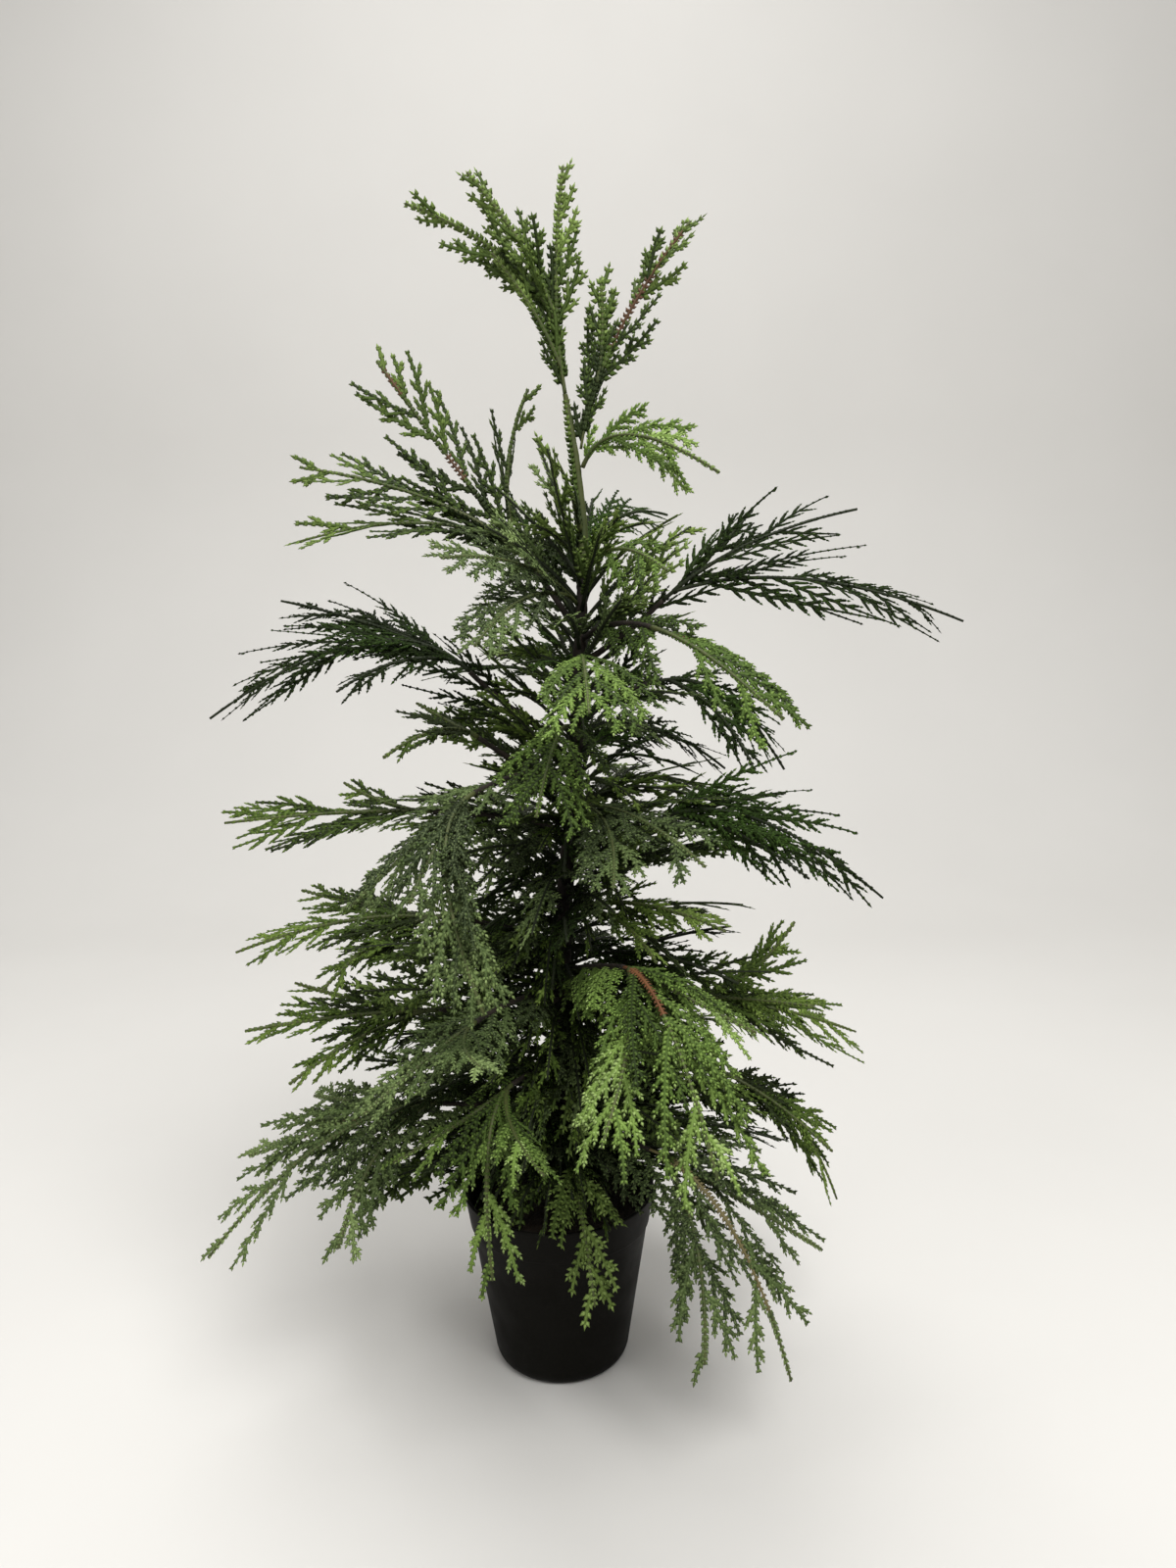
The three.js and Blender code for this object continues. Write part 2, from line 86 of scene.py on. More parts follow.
speckRange = (0.5, 0.72)  # of the noise, from no speck to a full one


def surface(name, look):
    material = bpy.data.materials.new(name)
    material.use_nodes = True
    nodes, links = material.node_tree.nodes, material.node_tree.links
    shader = nodes["Principled BSDF"]
    place = nodes.new("ShaderNodeTexCoord").outputs["Object"]

    def grain(scale, detail, stretch=(1, 1, 1)):
        mapping = nodes.new("ShaderNodeMapping")
        mapping.inputs["Scale"].default_value = stretch
        links.new(place, mapping.inputs["Vector"])
        texture = nodes.new("ShaderNodeTexNoise")
        texture.inputs["Scale"].default_value = scale
        texture.inputs["Detail"].default_value = detail
        links.new(mapping.outputs["Vector"], texture.inputs["Vector"])
        return texture.outputs["Fac"]

    def spread(source, low, high, start=0.3, end=0.7):
        reach = nodes.new("ShaderNodeMapRange")
        reach.inputs["From Min"].default_value = start
        reach.inputs["From Max"].default_value = end
        reach.inputs["To Min"].default_value = low
        reach.inputs["To Max"].default_value = high
        links.new(source, reach.inputs["Value"])
        return reach.outputs["Result"]

    def mixed(share, first, second):
        mix = nodes.new("ShaderNodeMix")
        mix.data_type = "RGBA"
        links.new(share, mix.inputs["Factor"])
        for socket, value in ((mix.inputs["A"], first), (mix.inputs["B"], second)):
            if isinstance(value, list):
                socket.default_value = value
            else:
                links.new(value, socket)
        return mix.outputs["Result"]

    patches = spread(grain(look["patch"], 3), 0, 1)
    colour = mixed(patches, linear(look["colour"]), linear(look["second"]))
    if "dust" in look:
        specks = spread(grain(look["speck"], 2), 0, look["dustiness"], *speckRange)
        colour = mixed(specks, colour, linear(look["dust"]))
    links.new(colour, shader.inputs["Base Color"])
    low, high = look["roughness"]
    links.new(spread(grain(look["patch"] * 3, 4), low, high), shader.inputs["Roughness"])
    bump = nodes.new("ShaderNodeBump")
    bump.inputs["Strength"].default_value = look.get("relief", 0.4)
    bump.inputs["Distance"].default_value = look["depth"] * mm
    fine = grain(look["fine"], 4, look.get("stretch", (1, 1, 1)))
    links.new(fine, bump.inputs["Height"])
    links.new(bump.outputs["Normal"], shader.inputs["Normal"])
    shader.inputs["Specular IOR Level"].default_value = look.get("specular", 0.4)
    return material


# Pot: a tapered matt plastic pot with a shallow band under its rim.

pot = {
    "height": 95, "rimRadius": 51, "footRadius": 36, "wall": 1.8, "floor": 3, "footRounding": 7,
    "footSteps": 8, "footKnee": (1, 0.2), "bandHeight": 18, "bandStep": 0.8, "sides": 96, "smooth": 50,
    # rings: heights on the wall; [height from the band's edge, share of its step]; [out from the rim or
    # from the inner wall, up from the top]; heights on the inner wall
    "wallRings": (30, 55), "bandEdge": [(-0.6, 1), (-0.2, 0.8), (0.4, 0.15), (1, 0)], "bandTop": 9,
    "lip": [(-0.05, -1.1), (0, -0.8), (-0.1, -0.35), (-0.4, -0.06), (-0.8, 0)],
    "innerLip": [(0.5, 0), (0.15, -0.12), (0, -0.5)], "innerRings": (60, 7),
    "look": {
        "colour": (7, 6, 3), "second": (11, 10, 6), "dust": (60, 56, 48), "dustiness": 0.06,
        "patch": 22, "speck": 900, "fine": 1500, "depth": 0.12, "relief": 0.25,
        "roughness": (0.5, 0.66), "specular": 0.075,
    },
}


def ringBody(name, rings, sides):
    # a closed body drawn up from a filled circle; each ring is [radius, height, lean to the right] in mm,
    # and one without a lean stands in the middle
    clearSelection()
    rings = [(*ring, 0.0)[:3] for ring in rings]
    radius, height, lean = rings[0]
    bpy.ops.mesh.primitive_circle_add(
        vertices=sides, radius=radius * mm, fill_type="NGON", location=(lean * mm, 0, height * mm))
    piece = bpy.context.active_object
    piece.name = piece.data.name = name
    bpy.ops.object.transform_apply(location=True, rotation=False, scale=False)
    bpy.ops.object.mode_set(mode="EDIT")
    bpy.ops.mesh.select_all(action="SELECT")
    for lastRing, (radius, height, lean) in zip(rings, rings[1:]):
        move = ((lean - lastRing[2]) * mm, 0, (height - lastRing[1]) * mm)
        share = radius / lastRing[0]
        bpy.ops.mesh.extrude_region_move(TRANSFORM_OT_translate={"value": move})
        bpy.ops.transform.resize(
            value=(share, share, 1), center_override=(lean * mm, 0, height * mm))
    bpy.ops.mesh.select_all(action="SELECT")
    bpy.ops.mesh.normals_make_consistent(inside=False)
    bpy.ops.object.mode_set(mode="OBJECT")
    return piece


def potOuter(height):
    # radius in mm, without the step under the band
    return between(pot["footRadius"], pot["rimRadius"], height / pot["height"])


def makePot():
    step, wall, rim, top = pot["bandStep"], pot["wall"], pot["rimRadius"], pot["height"]
    band, rounding = top - pot["bandHeight"], pot["footRounding"]
    footIn = pot["footRadius"] - rounding
    inward, upward = pot["footKnee"]
    foot = [(footIn, 0.0), (pot["footRadius"] - inward, upward), (potOuter(rounding) - step, rounding)]
    profile = list(onCurve(np.array(foot), np.linspace(0, 1, pot["footSteps"] + 1)))
    profile += [(potOuter(height) - step, height) for height in pot["wallRings"]]
    profile += [(potOuter(band + lift) - step * share, band + lift) for lift, share in pot["bandEdge"]]
    profile.append((potOuter(top - pot["bandTop"]), top - pot["bandTop"]))
    profile += [(rim + out, top + lift) for out, lift in pot["lip"]]
    profile += [(rim - wall + out, top + lift) for out, lift in pot["innerLip"]]
    profile += [(potOuter(height) - wall - step, height) for height in pot["innerRings"]]
    profile.append((footIn, pot["floor"]))
    piece = ringBody("potShell", profile, pot["sides"])
    piece.data.materials.append(surface("potPlastic", pot["look"]))
    bpy.ops.object.shade_smooth_by_angle(angle=math.radians(pot["smooth"]))
    return keep(piece, ["pot"])


# Filling: dark crumbs pressed into the pot, a little under its rim.

filling = {
    "drop": 11, "gap": 0.3, "kneeHeight": 8, "mound": 2.5, "moundFlat": 12, "moundSlope": 1.6,
    "sides": 96, "ringStep": 1.6, "innermost": 1.5, "clods": 1.6, "clodSizes": [(9, 0.8), (3.5, 0.7)],
    "clodMiddle": 0.6, "looseDepth": 0.2, "firmEdge": 0.5,
    "look": {
        "colour": (28, 23, 18), "second": (46, 38, 29), "patch": 160, "fine": 700, "depth": 0.9,
        "relief": 0.9, "roughness": (0.85, 1.0), "specular": 0.2,
    },
}


def makeFilling():
    def wallAt(height):
        return potOuter(height) - pot["wall"] - pot["bandStep"] - 2 * filling["gap"]

    top, knee, flat = pot["height"] - filling["drop"], filling["kneeHeight"], filling["moundFlat"]
    footIn = pot["footRadius"] - pot["footRounding"] - filling["gap"]
    edge = wallAt(top)
    profile = [(footIn, pot["floor"] + filling["gap"]), (wallAt(knee), knee), (edge, top)]
    inward = edge - filling["innermost"]
    rings = int(inward / filling["ringStep"])
    for k in range(1, rings + 1):
        radius = edge - k * inward / rings
        rise = 1 - max(0.0, (radius - flat) / (edge - flat)) ** filling["moundSlope"]
        profile.append((radius, top + filling["mound"] * rise))
    piece = ringBody("fillingCrumbs", profile, filling["sides"])
    group = piece.vertex_groups.new(name="top")
    lowest, outmost = (top - filling["looseDepth"]) * mm, (edge - filling["firmEdge"]) * mm
    loose = [v.index for v in piece.data.vertices
             if v.co.z > lowest and math.hypot(v.co.x, v.co.y) < outmost]
    group.add(loose, 1.0, "REPLACE")
    for size, strength in filling["clodSizes"]:
        texture = bpy.data.textures.new("clods", "CLOUDS")
        texture.noise_scale = size * mm
        apply(piece, "DISPLACE", "clods", texture=texture, strength=filling["clods"] * strength * mm,
              mid_level=filling["clodMiddle"], vertex_group="top", direction="Z")
    piece.data.materials.append(surface("fillingMix", filling["look"]))
    return keep(piece, ["potting_fill"])


# Trunk: where its middle line is at each height in mm, and how thick it is there.

trunk = {
    "line": [
        (86.8, 0.0, 7.5), (97, 0.4, 5.4), (160, 2.2, 4.9), (240, 4.5, 4.3), (308, 11.5, 3.7),
        (348, 14.0, 3.3), (398, 17.0, 2.7), (442, 19.0, 2.1), (475, 16.0, 1.6), (506, 11.0, 1.2),
    ],
    "sides": 24, "step": 1.6, "smooth": 45, "smoothing": 6, "tapePitch": 8.5, "tapeStep": 0.5, "seam": 0.12,
    "wrinkle": 0.22, "wrinklesAround": 2.2, "wrinklesUp": 0.22, "bareRelief": 0.35,
    "tapeTop": 425, "tapeEnd": 12, "tapeSlant": 4, "topLean": 17, "scalesFrom": 432, "scalesOut": 3.2,
    "tape": {
        "colour": (24, 20, 16), "second": (42, 35, 28), "patch": 120, "fine": 900, "depth": 0.5,
        "relief": 0.8, "stretch": (1, 1, 0.25), "roughness": (0.7, 0.92), "specular": 0.25,
    },
    "stem": {
        "colour": (54, 64, 28), "second": (68, 72, 34), "patch": 90, "fine": 900, "depth": 0.3,
        "relief": 0.5, "stretch": (1, 1, 0.3), "roughness": (0.55, 0.75), "specular": 0.35,
    },
}


def alongTrunk(height):
    # lean and radius in mm; beyond the last height the line goes straight on
    line = np.array(trunk["line"])
    k = int(np.clip(np.searchsorted(line[:, 0], height, side="right") - 1, 0, len(line) - 2))
    share = (height - line[k, 0]) / (line[k + 1, 0] - line[k, 0])
    return between(line[k, 1:], line[k + 1, 1:], share)


def tapeRelief(angle, height):
    # the overlap of a tape that is wound upwards, and its small wrinkles, in mm
    phase = (height / trunk["tapePitch"] + angle / (2 * math.pi)) % 1.0
    seam, around = trunk["seam"], trunk["wrinklesAround"]
    overlap = trunk["tapeStep"] * (phase / seam if phase < seam else 1 - (phase - seam) / (1 - seam))
    spot = Vector((math.cos(angle) * around, math.sin(angle) * around, height * trunk["wrinklesUp"]))
    return overlap + trunk["wrinkle"] * noise.noise(spot)


def makeTrunk():
    foot, top = trunk["line"][0][0], trunk["line"][-1][0]
    heights = np.linspace(foot, top, int((top - foot) / trunk["step"]) + 1)
    leans, radii = np.array([alongTrunk(height) for height in heights]).T
    soft = np.array([0.25, 0.5, 0.25])
    for _ in range(trunk["smoothing"]):
        leans[1:-1] = np.convolve(leans, soft, "same")[1:-1]
        radii[4:-1] = np.convolve(radii, soft, "same")[4:-1]  # the flare at the foot stays
    piece = ringBody("trunkTaped", zip(radii, heights, leans), trunk["sides"])
    for vertex in piece.data.vertices:
        height = vertex.co.z / mm
        lean = np.interp(height, heights, leans) * mm
        angle = math.atan2(vertex.co.y, vertex.co.x - lean)
        taped = min(1.0, max(0.0, 0.5 + (trunk["tapeTop"] - height) / trunk["tapeEnd"]))
        out = tapeRelief(angle, height) * between(trunk["bareRelief"], 1, taped) * mm
        if height > foot + 1:  # the cut at the foot stays round
            vertex.co.x += math.cos(angle) * out
            vertex.co.y += math.sin(angle) * out
    piece.data.materials.append(surface("stemTape", trunk["tape"]))
    piece.data.materials.append(surface("greenStem", trunk["stem"]))
    for face in piece.data.polygons:
        around = math.atan2(face.center.y, face.center.x - trunk["topLean"] * mm)
        face.material_index = int(face.center.z / mm > trunk["tapeTop"] + trunk["tapeSlant"] * around)
    bpy.ops.object.shade_smooth_by_angle(angle=math.radians(trunk["smooth"]))
    return keep(piece, ["trunk"])


# Crown: each row is [name, height where it leaves the trunk, rise, fork that its bough ends at, tint,
# stems]. Each stem of its spray ends at [azimuth, reach, height, twist, and where on the first stem it
# starts, if that isn't the usual place]. Azimuth 0 is to the right and -90 is towards the camera.

crown = [
    ("leader", 506, 99, None, "mid",
     [(0, 1, 610, 90), (-165, 45, 604, 90, 0.34), (174, 76, 597, 70, 0.34), (-170, 34, 570, 80, 0.12)]),
    ("top_right", 480, 80, None, "mid", [(-5, 57, 583, 80), (10, 14, 560, 80, 0.3)]),
    ("arch_right", 471, 62, None, "bright", [(-35, 79, 463, 75)]),
    ("upper_left", 395, 58, (166, 28, 428), "mid",
     [(166, 104, 528, -75), (-174, 136, 437, -30), (178, 138, 474, -45), (121, 50, 516, 60)]),
    ("left_front_high", 405, 40, None, "grey", [(-131, 93, 426, -45), (-118, 98, 388, -30)]),
    ("back_right_high", 430, 45, None, "dark", [(58, 89, 453, 35)]),
    ("crown_small", 440, 70, None, "grey", [(-114, 27, 470, -60)]),
    ("right_front_high", 420, 35, None, "bright", [(-64, 84, 419, 40)]),
    ("right_bright", 388, 25, (-58, 62, 394), "bright", [(-51, 135, 356, 35), (-39, 96, 379, 35)]),
    ("front_high", 374, 20, None, "bright", [(-88, 125, 362, 0)]),
    ("right_high", 377, 30, (-20, 44, 406), "dark",
     [(-6, 136, 448, 50), (-11, 185, 394, 40), (13, 92, 451, 50)]),
    ("left_high", 335, 28, (180, 53, 372), "dark",
     [(-175, 181, 352, -35), (171, 154, 409, -35), (157, 130, 400, -35), (-160, 119, 366, -30)]),
    ("right_arch_mid", 347, 45, (14, 43, 365), "dark", [(6, 108, 318, 50), (-14, 90, 322, 40)]),
    ("right_back_mid", 330, 35, None, "dark", [(36, 103, 312, 40), (59, 93, 333, 40)]),
    ("left_mid", 310, 30, (-147, 54, 342), "olive", [(-148, 103, 336, -40), (-168, 78, 358, -40)]),
    ("front_mid", 340, 25, None, "bright", [(-98, 116, 318, 0)]),
    ("left_long", 290, 20, (-170, 70, 303), "olive", [(-172, 172, 301, -35), (175, 118, 315, -35)]),
    ("front_left_mid", 320, 15, (-121, 86, 322), "grey",
     [(-106, 136, 238, 0), (-119, 140, 284, -10), (-136, 136, 276, -20)]),
    ("right_mid", 270, 35, (-30, 50, 298), "dark",
     [(-18, 159, 264, 45), (-8, 111, 310, 40), (-32, 132, 279, 45)]),
    ("front_right_mid", 302, 15, None, "grey", [(-62, 122, 294, 15), (-82, 127, 290, 0, 0.12)]),
    ("right_mid_low", 248, 25, None, "olive", [(-38, 98, 252, 35), (-62, 92, 244, 20)]),
    ("left_low", 232, 22, (-171, 60, 247), "olive",
     [(-175, 167, 232, -35), (174, 139, 257, -35), (-156, 126, 223, -30)]),
    ("left_lower", 188, 18, (-168, 64, 199), "olive",
     [(-169, 161, 196, -35), (178, 141, 209, -35), (-157, 142, 178, -35)]),
    ("front_left_low", 204, 20, (-116, 86, 216), "grey", [(-124, 147, 192, -15), (-101, 150, 222, 0)]),
    ("left_bottom", 140, 14, (-156, 65, 154), "grey",
     [(-158, 183, 96, -30), (-167, 161, 132, -35), (176, 134, 144, -35), (-140, 134, 110, -25)]),
    ("front_left_bottom", 165, 20, (-112, 60, 176), "bright",
     [(-106, 109, 104, 0), (-133, 112, 150, -20), (-92, 132, 168, 0)]),
    ("front_bottom", 118, 25, None, "mid", [(-79, 90, 80, 0)]),
    ("front_right_low", 216, 22, (-71, 92, 244), "bright",
     [(-69, 177, 182, 15), (-84, 172, 199, 0), (-53, 142, 222, 20)]),
    ("right_low", 196, 15, (0, 62, 200), "olive",
     [(7, 126, 235, 60), (14, 170, 163, 40), (-11, 130, 202, 40)]),
    ("right_lower", 155, 20, (0, 82, 158), "olive", [(0, 148, 84, 35), (-12, 142, 126, 35)]),
    ("right_bottom", 132, 8, (-47, 66, 138), "grey",
     [(-38, 139, 38, 25), (-21, 140, 84, 30), (-59, 128, 64, 10)]),
    ("back_high", 412, 48, None, "mid", [(100, 108, 432, 0), (136, 96, 446, 0)]),
    ("back_left_high", 358, 40, None, "dark", [(112, 138, 372, 0), (138, 120, 366, 0)]),
    ("back_right_mid", 296, 35, None, "olive", [(48, 142, 282, 0), (76, 134, 306, 0)]),
    ("back_mid", 262, 26, (112, 54, 284), "grey",
     [(98, 156, 250, 0), (124, 150, 262, 0), (150, 136, 284, 0)]),
    ("back_left_low", 210, 28, None, "mid", [(128, 162, 186, 0), (148, 150, 200, 0)]),
    ("back_right_low", 172, 20, (66, 62, 190), "bright",
     [(40, 158, 140, 0), (70, 168, 150, 0), (94, 160, 128, 0)]),
]

limb = {
    "gap": 0.3, "boughRadius": 1.7, "boughTip": 1.2, "ribHalf": 1.1, "bladeHalf": 0.6, "bend": 0.45,
    "forkShare": 0.07, "forkTurn": 0.5, "uprightReach": 8, "bareAtTrunk": 0.22, "bareAtBough": 0.06,
    "boughSides": 10, "boughStep": 1.6, "tapePitch": 5.5, "tapeStep": 0.28, "tapeWrinkle": 0.06,
    "tapeWrinkles": 7, "tapeRoom": 0.15, "tapeRoomTip": 0.1, "scaleSlant": 0.5, "scaleFlat": 0.4,
    "stemRadius": 1.05, "stemTip": 0.5, "stemSides": 6, "stemStep": 2.4, "turnedStem": 0.6,
    "scalePitch": 2.6, "scaleRise": 0.28, "coverFrom": 2, "slenderTip": 0.4, "steepFace": 0.5,
    "coverSize": 0.85, "coverAngle": 11, "coverLift": 0.6, "turnedSize": 0.8, "turnedAngle": 52,
    "endLength": 28, "endFrom": 0.35, "endSize": 0.8, "endShade": 0.1,
    "darkStem": {
        "colour": (24, 30, 16), "second": (36, 42, 24), "patch": 150, "fine": 900, "depth": 0.3,
        "relief": 0.5, "roughness": (0.6, 0.8), "specular": 0.2,
    },
}

twig = {
    "spacing": 8, "angle": 34, "share": 0.52, "taper": 0.62, "shortest": 14, "overshoot": 6,
    "curl": 0.12, "turn": 0.18, "sag": 0.12, "end": 0.97, "places": 0.5, "sizes": 0.4, "angles": 0.2,
}

# Whole numbers that tell one use of chance from another.
keys = {
    "place": 1, "size": 2, "angle": 3, "boughSize": 8, "boughTwigs": 9, "innerTwigs": 90,
    "bareTwigs": 400, "innerReach": 500, "innerLift": 501, "innerTwist": 502, "innerAround": 503,
}


def chance(*numbers):
    # a repeatable share from 0 to 1 for each list of whole numbers
    word = 0xFFFFFFFF
    a = 2166136261
    for number in numbers:
        a = ((a ^ (number + 1)) * 16777619) & word
    a = (a + 0x6D2B79F5) & word
    t = ((a ^ (a >> 15)) * (1 | a)) & word
    t = ((t + (((t ^ (t >> 7)) * (61 | t)) & word)) & word) ^ t
    return ((t ^ (t >> 14)) & word) / 4294967296


def direction(azimuth, rise):
    a, r = math.radians(azimuth), math.radians(rise)
    return np.array([math.cos(r) * math.cos(a), math.cos(r) * math.sin(a), math.sin(r)])


def crownPoint(at, azimuth, reach, height):
    flat = direction(azimuth, 0) * reach
    return np.array([alongTrunk(at)[0] + flat[0], flat[1], height])


def ahead(curve, t):
    t = np.asarray(t, float)[..., None]
    return unit(2 * (curve[1] - curve[0]) * (1 - t) + 2 * (curve[2] - curve[1]) * t)


def curveLength(curve):
    return np.linalg.norm(np.diff(onCurve(curve, np.linspace(0, 1, 201)), axis=0), axis=1).sum()


def sideOf(stem, tangent):
    across = np.cross(tangent, stem["level"])
    side = stem["level"] * math.cos(stem["twist"]) + across * math.sin(stem["twist"])
    return unit(side - tangent * (side * tangent).sum(-1, keepdims=True))


def stemOf(curve, twist, flat, bare, **more):
    # a stem, its azimuth and its twist in radians
    level = np.array([-math.sin(flat), math.cos(flat), 0.0])
    return {"curve": curve, "length": curveLength(curve), "twist": twist, "level": level, "bare": bare,
            "browned": [], **more}


def limbsOf(row):
    # a row's bough, where it has one, and its stems, by the same rule as the solids
    name, at, rise, fork, _, tips = row
    lean, radius = alongTrunk(at)
    first = fork[0] if fork else tips[0][0]
    away = direction(first, rise)
    twist = math.radians(tips[0][3])
    ribReach = abs(math.sin(twist)) * limb["ribHalf"] + abs(math.cos(twist)) * limb["bladeHalf"]
    limbReach = limb["boughRadius"] if fork else ribReach
    clear = radius + limb["gap"] + limbReach * math.sin(math.radians(rise))
    middle = np.array([lean, 0.0, at])
    start = middle + (up * limb["gap"] if at >= trunk["line"][-1][0] else direction(first, 0) * clear)
    bough, root, heading = None, start, away
    if fork:
        end = crownPoint(at, *fork)
        knee = start + away * np.linalg.norm(end - start) * limb["bend"]
        bough = (start, knee, end)
        heading = unit(end - knee)
        root = end + heading * limb["gap"]
    stems = []
    for azimuth, reach, height, turn, *rest in tips:
        share = rest[0] if rest else limb["forkShare"]
        origin = onCurve(stems[0]["curve"], share) if stems else root
        tip = crownPoint(at, azimuth, reach, height)
        chord = tip - origin
        leave = heading
        if stems:
            lead = ahead(stems[0]["curve"], share)
            leave = unit(lead + (unit(chord) - lead) * limb["forkTurn"])
        knee = origin + leave * np.linalg.norm(chord) * limb["bend"]
        upright = math.hypot(chord[0], chord[1]) < limb["uprightReach"]
        flat = math.radians(azimuth) if upright else math.atan2(chord[1], chord[0])
        bare = limb["bareAtBough"] if fork or share > limb["forkShare"] else limb["bareAtTrunk"]
        found = [part[1:] for part in browned.get(name, []) if part[0] == len(stems)]
        stems.append(stemOf((origin, knee, tip), math.radians(turn), flat, bare, browned=found))
    return bough, stems


def twigsOf(rowIndex, stemIndex, stem):
    # [where on the stem, angle, reach, side] of each twig, by the same rule as the solids
    length, bare = stem["length"], stem["bare"]
    count = 2 * max(3, int(math.floor(length * (1 - bare) / twig["spacing"] / 2 + 0.5)))
    found = []
    for k in range(count):
        shift, size, turn = [
            chance(rowIndex, stemIndex, k, keys[use]) - 0.5 for use in ("place", "size", "angle")]
        t = bare + (twig["end"] - bare) * (k + 0.5 + twig["places"] * shift) / count
        wide = length * twig["share"] * (1 - twig["taper"] * t) * (1 + twig["sizes"] * size)
        reach = max(twig["shortest"], min(wide, length * (1 - t) + twig["overshoot"]))
        angle = math.radians(twig["angle"] * (1 + twig["angles"] * turn))
        found.append((t, angle, reach, -1 if k % 2 else 1))
    return found


# Foliage: feathery twigs of small pointed scales. Each tint has its own habit, in mm and degrees, and
# its plain colours from deep to light, dealt out by spray. The colours are lit and shaded copies of the
# tint's green: a twig's copy is partly its spray's own tone, at random, and partly painted shade and
# light by its place. fade is the shade at a twig's root and its change to the tip, painted shade and
# light over that tone.

foliage = {
    "bright": {
        "turn": 0.95, "reach": 0.95, "pitch": 2.6, "tooth": 3.6, "toothAngle": 40, "toothHalf": 1.15,
        "axisHalf": 1.15, "depth": 0.38, "taper": 0.4, "subPitch": 7.2, "subShare": 0.3, "subMost": 9,
        "subAngle": 37, "subEnd": 0.86, "droop": 0.26, "end": 0.97, "tipTaper": 0.0, "tilt": 0.2,
        "kept": 0.6, "between": 0.0, "knobby": 0.0, "fade": (0.2, 0.55),
        "tonesAndPaintedShades": [(40, 52, 20), (72, 93, 37), (110, 135, 63), (148, 171, 100)],
    },
    "mid": {
        "turn": 0.88, "reach": 0.95, "pitch": 3.8, "tooth": 5.0, "toothAngle": 42, "toothHalf": 1.55,
        "axisHalf": 1.2, "depth": 0.5, "taper": 0.35, "subPitch": 11.0, "subShare": 0.34, "subMost": 10,
        "subAngle": 34, "subEnd": 0.6, "droop": 0.02, "end": 0.97, "tipTaper": 0.1, "tilt": 0.65,
        "kept": 0.95, "between": 0.0, "knobby": 0.0, "fade": (0.05, 0.8), "dust": ((116, 138, 80), 0.15),
        "tonesAndPaintedShades": [(35, 46, 17), (65, 82, 33), (95, 114, 52), (125, 146, 78)],
    },
    "olive": {
        "turn": 0.78, "reach": 0.95, "pitch": 3.1, "tooth": 4.1, "toothAngle": 30, "toothHalf": 1.1,
        "axisHalf": 1.15, "depth": 0.4, "taper": 0.5, "subPitch": 9.5, "subShare": 0.36, "subMost": 13,
        "subAngle": 28, "subEnd": 0.6, "droop": 0.05, "end": 0.86, "tipTaper": 0.3, "tilt": 0.35,
        "kept": 0.9, "between": 0.4, "knobby": 0.0, "fade": (0.0, 0.85),
        "tonesAndPaintedShades": [(34, 44, 14), (63, 81, 28), (92, 113, 46), (122, 143, 70)],
    },
    "grey": {
        "turn": 0.9, "reach": 1.0, "pitch": 3.1, "tooth": 4.3, "toothAngle": 40, "toothHalf": 1.3,
        "axisHalf": 1.2, "depth": 0.42, "taper": 0.45, "subPitch": 9.0, "subShare": 0.36, "subMost": 10.5,
        "subAngle": 37, "subEnd": 0.74, "droop": 0.12, "end": 0.95, "tipTaper": 0.1, "tilt": 0.25,
        "kept": 0.78, "between": 0.0, "knobby": 0.0, "fade": (0.0, 0.75), "dust": ((146, 162, 110), 0.35),
        "tonesAndPaintedShades": [(40, 51, 25), (71, 87, 46), (100, 117, 67), (128, 146, 91)],
    },
    "dark": {
        "turn": 0.72, "reach": 1.15, "pitch": 3.5, "tooth": 4.2, "toothAngle": 28, "toothHalf": 1.05,
        "axisHalf": 1.1, "depth": 0.45, "taper": 0.7, "subPitch": 7.0, "subShare": 0.38, "subMost": 9.5,
        "subAngle": 35, "subEnd": 0.55, "droop": 0.1, "end": 0.84, "tipTaper": 0.3, "tilt": 0.3,
        "kept": 0.9, "between": 0.0, "knobby": 0.28, "fade": (0.6, -0.4), "dust": ((84, 104, 54), 0.2),
        "specular": 0.06,
        "tonesAndPaintedShades": [(21, 30, 10), (36, 52, 18), (56, 79, 31), (84, 108, 48)],
    },
}
knobby = {"angle": 42, "size": 1.1, "reach": 0.6, "droop": 0.35}

# A feathery twig: its scaly cord, its pairs of scales with their chance ranges, and its smaller twigs.
cord = {"root": 0.7, "waist": 0.86, "lean": 0.3, "bumpPitch": 4.6, "mostBumps": 12, "thin": 0.75,
        "depth": 1.1, "shade": -0.15}
leafScale = {
    "widest": 0.42, "pairStart": 0.55, "shadeAlong": 0.2, "angles": (0.9, 1.1), "lifts": (-0.05, 0.1),
    "sizes": (0.88, 1.14), "rolls": (-0.14, 0.14), "halves": (0.6, 1.15),
    "tipFrom": 0.93, "tipLength": 0.8, "tipHalf": 0.62, "tipDepth": 0.7, "tipShade": 0.3,
}
branching = {"shades": (-0.22, 0.22), "lifts": (-0.08, 0.08), "rolls": (-0.15, 0.15)}
smaller = {
    "from": 0.1, "places": (0.3, 0.7), "taper": 0.5, "lengths": (0.85, 1.15), "shortest": 4.2,
    "angles": (0.88, 1.12), "lifts": (-0.08, 0.08), "rolls": (-0.2, 0.2), "curl": 0.12, "turn": 0.08,
    "droop": 0.5, "size": 0.85, "bare": 0.06, "shade": 0.12,
}

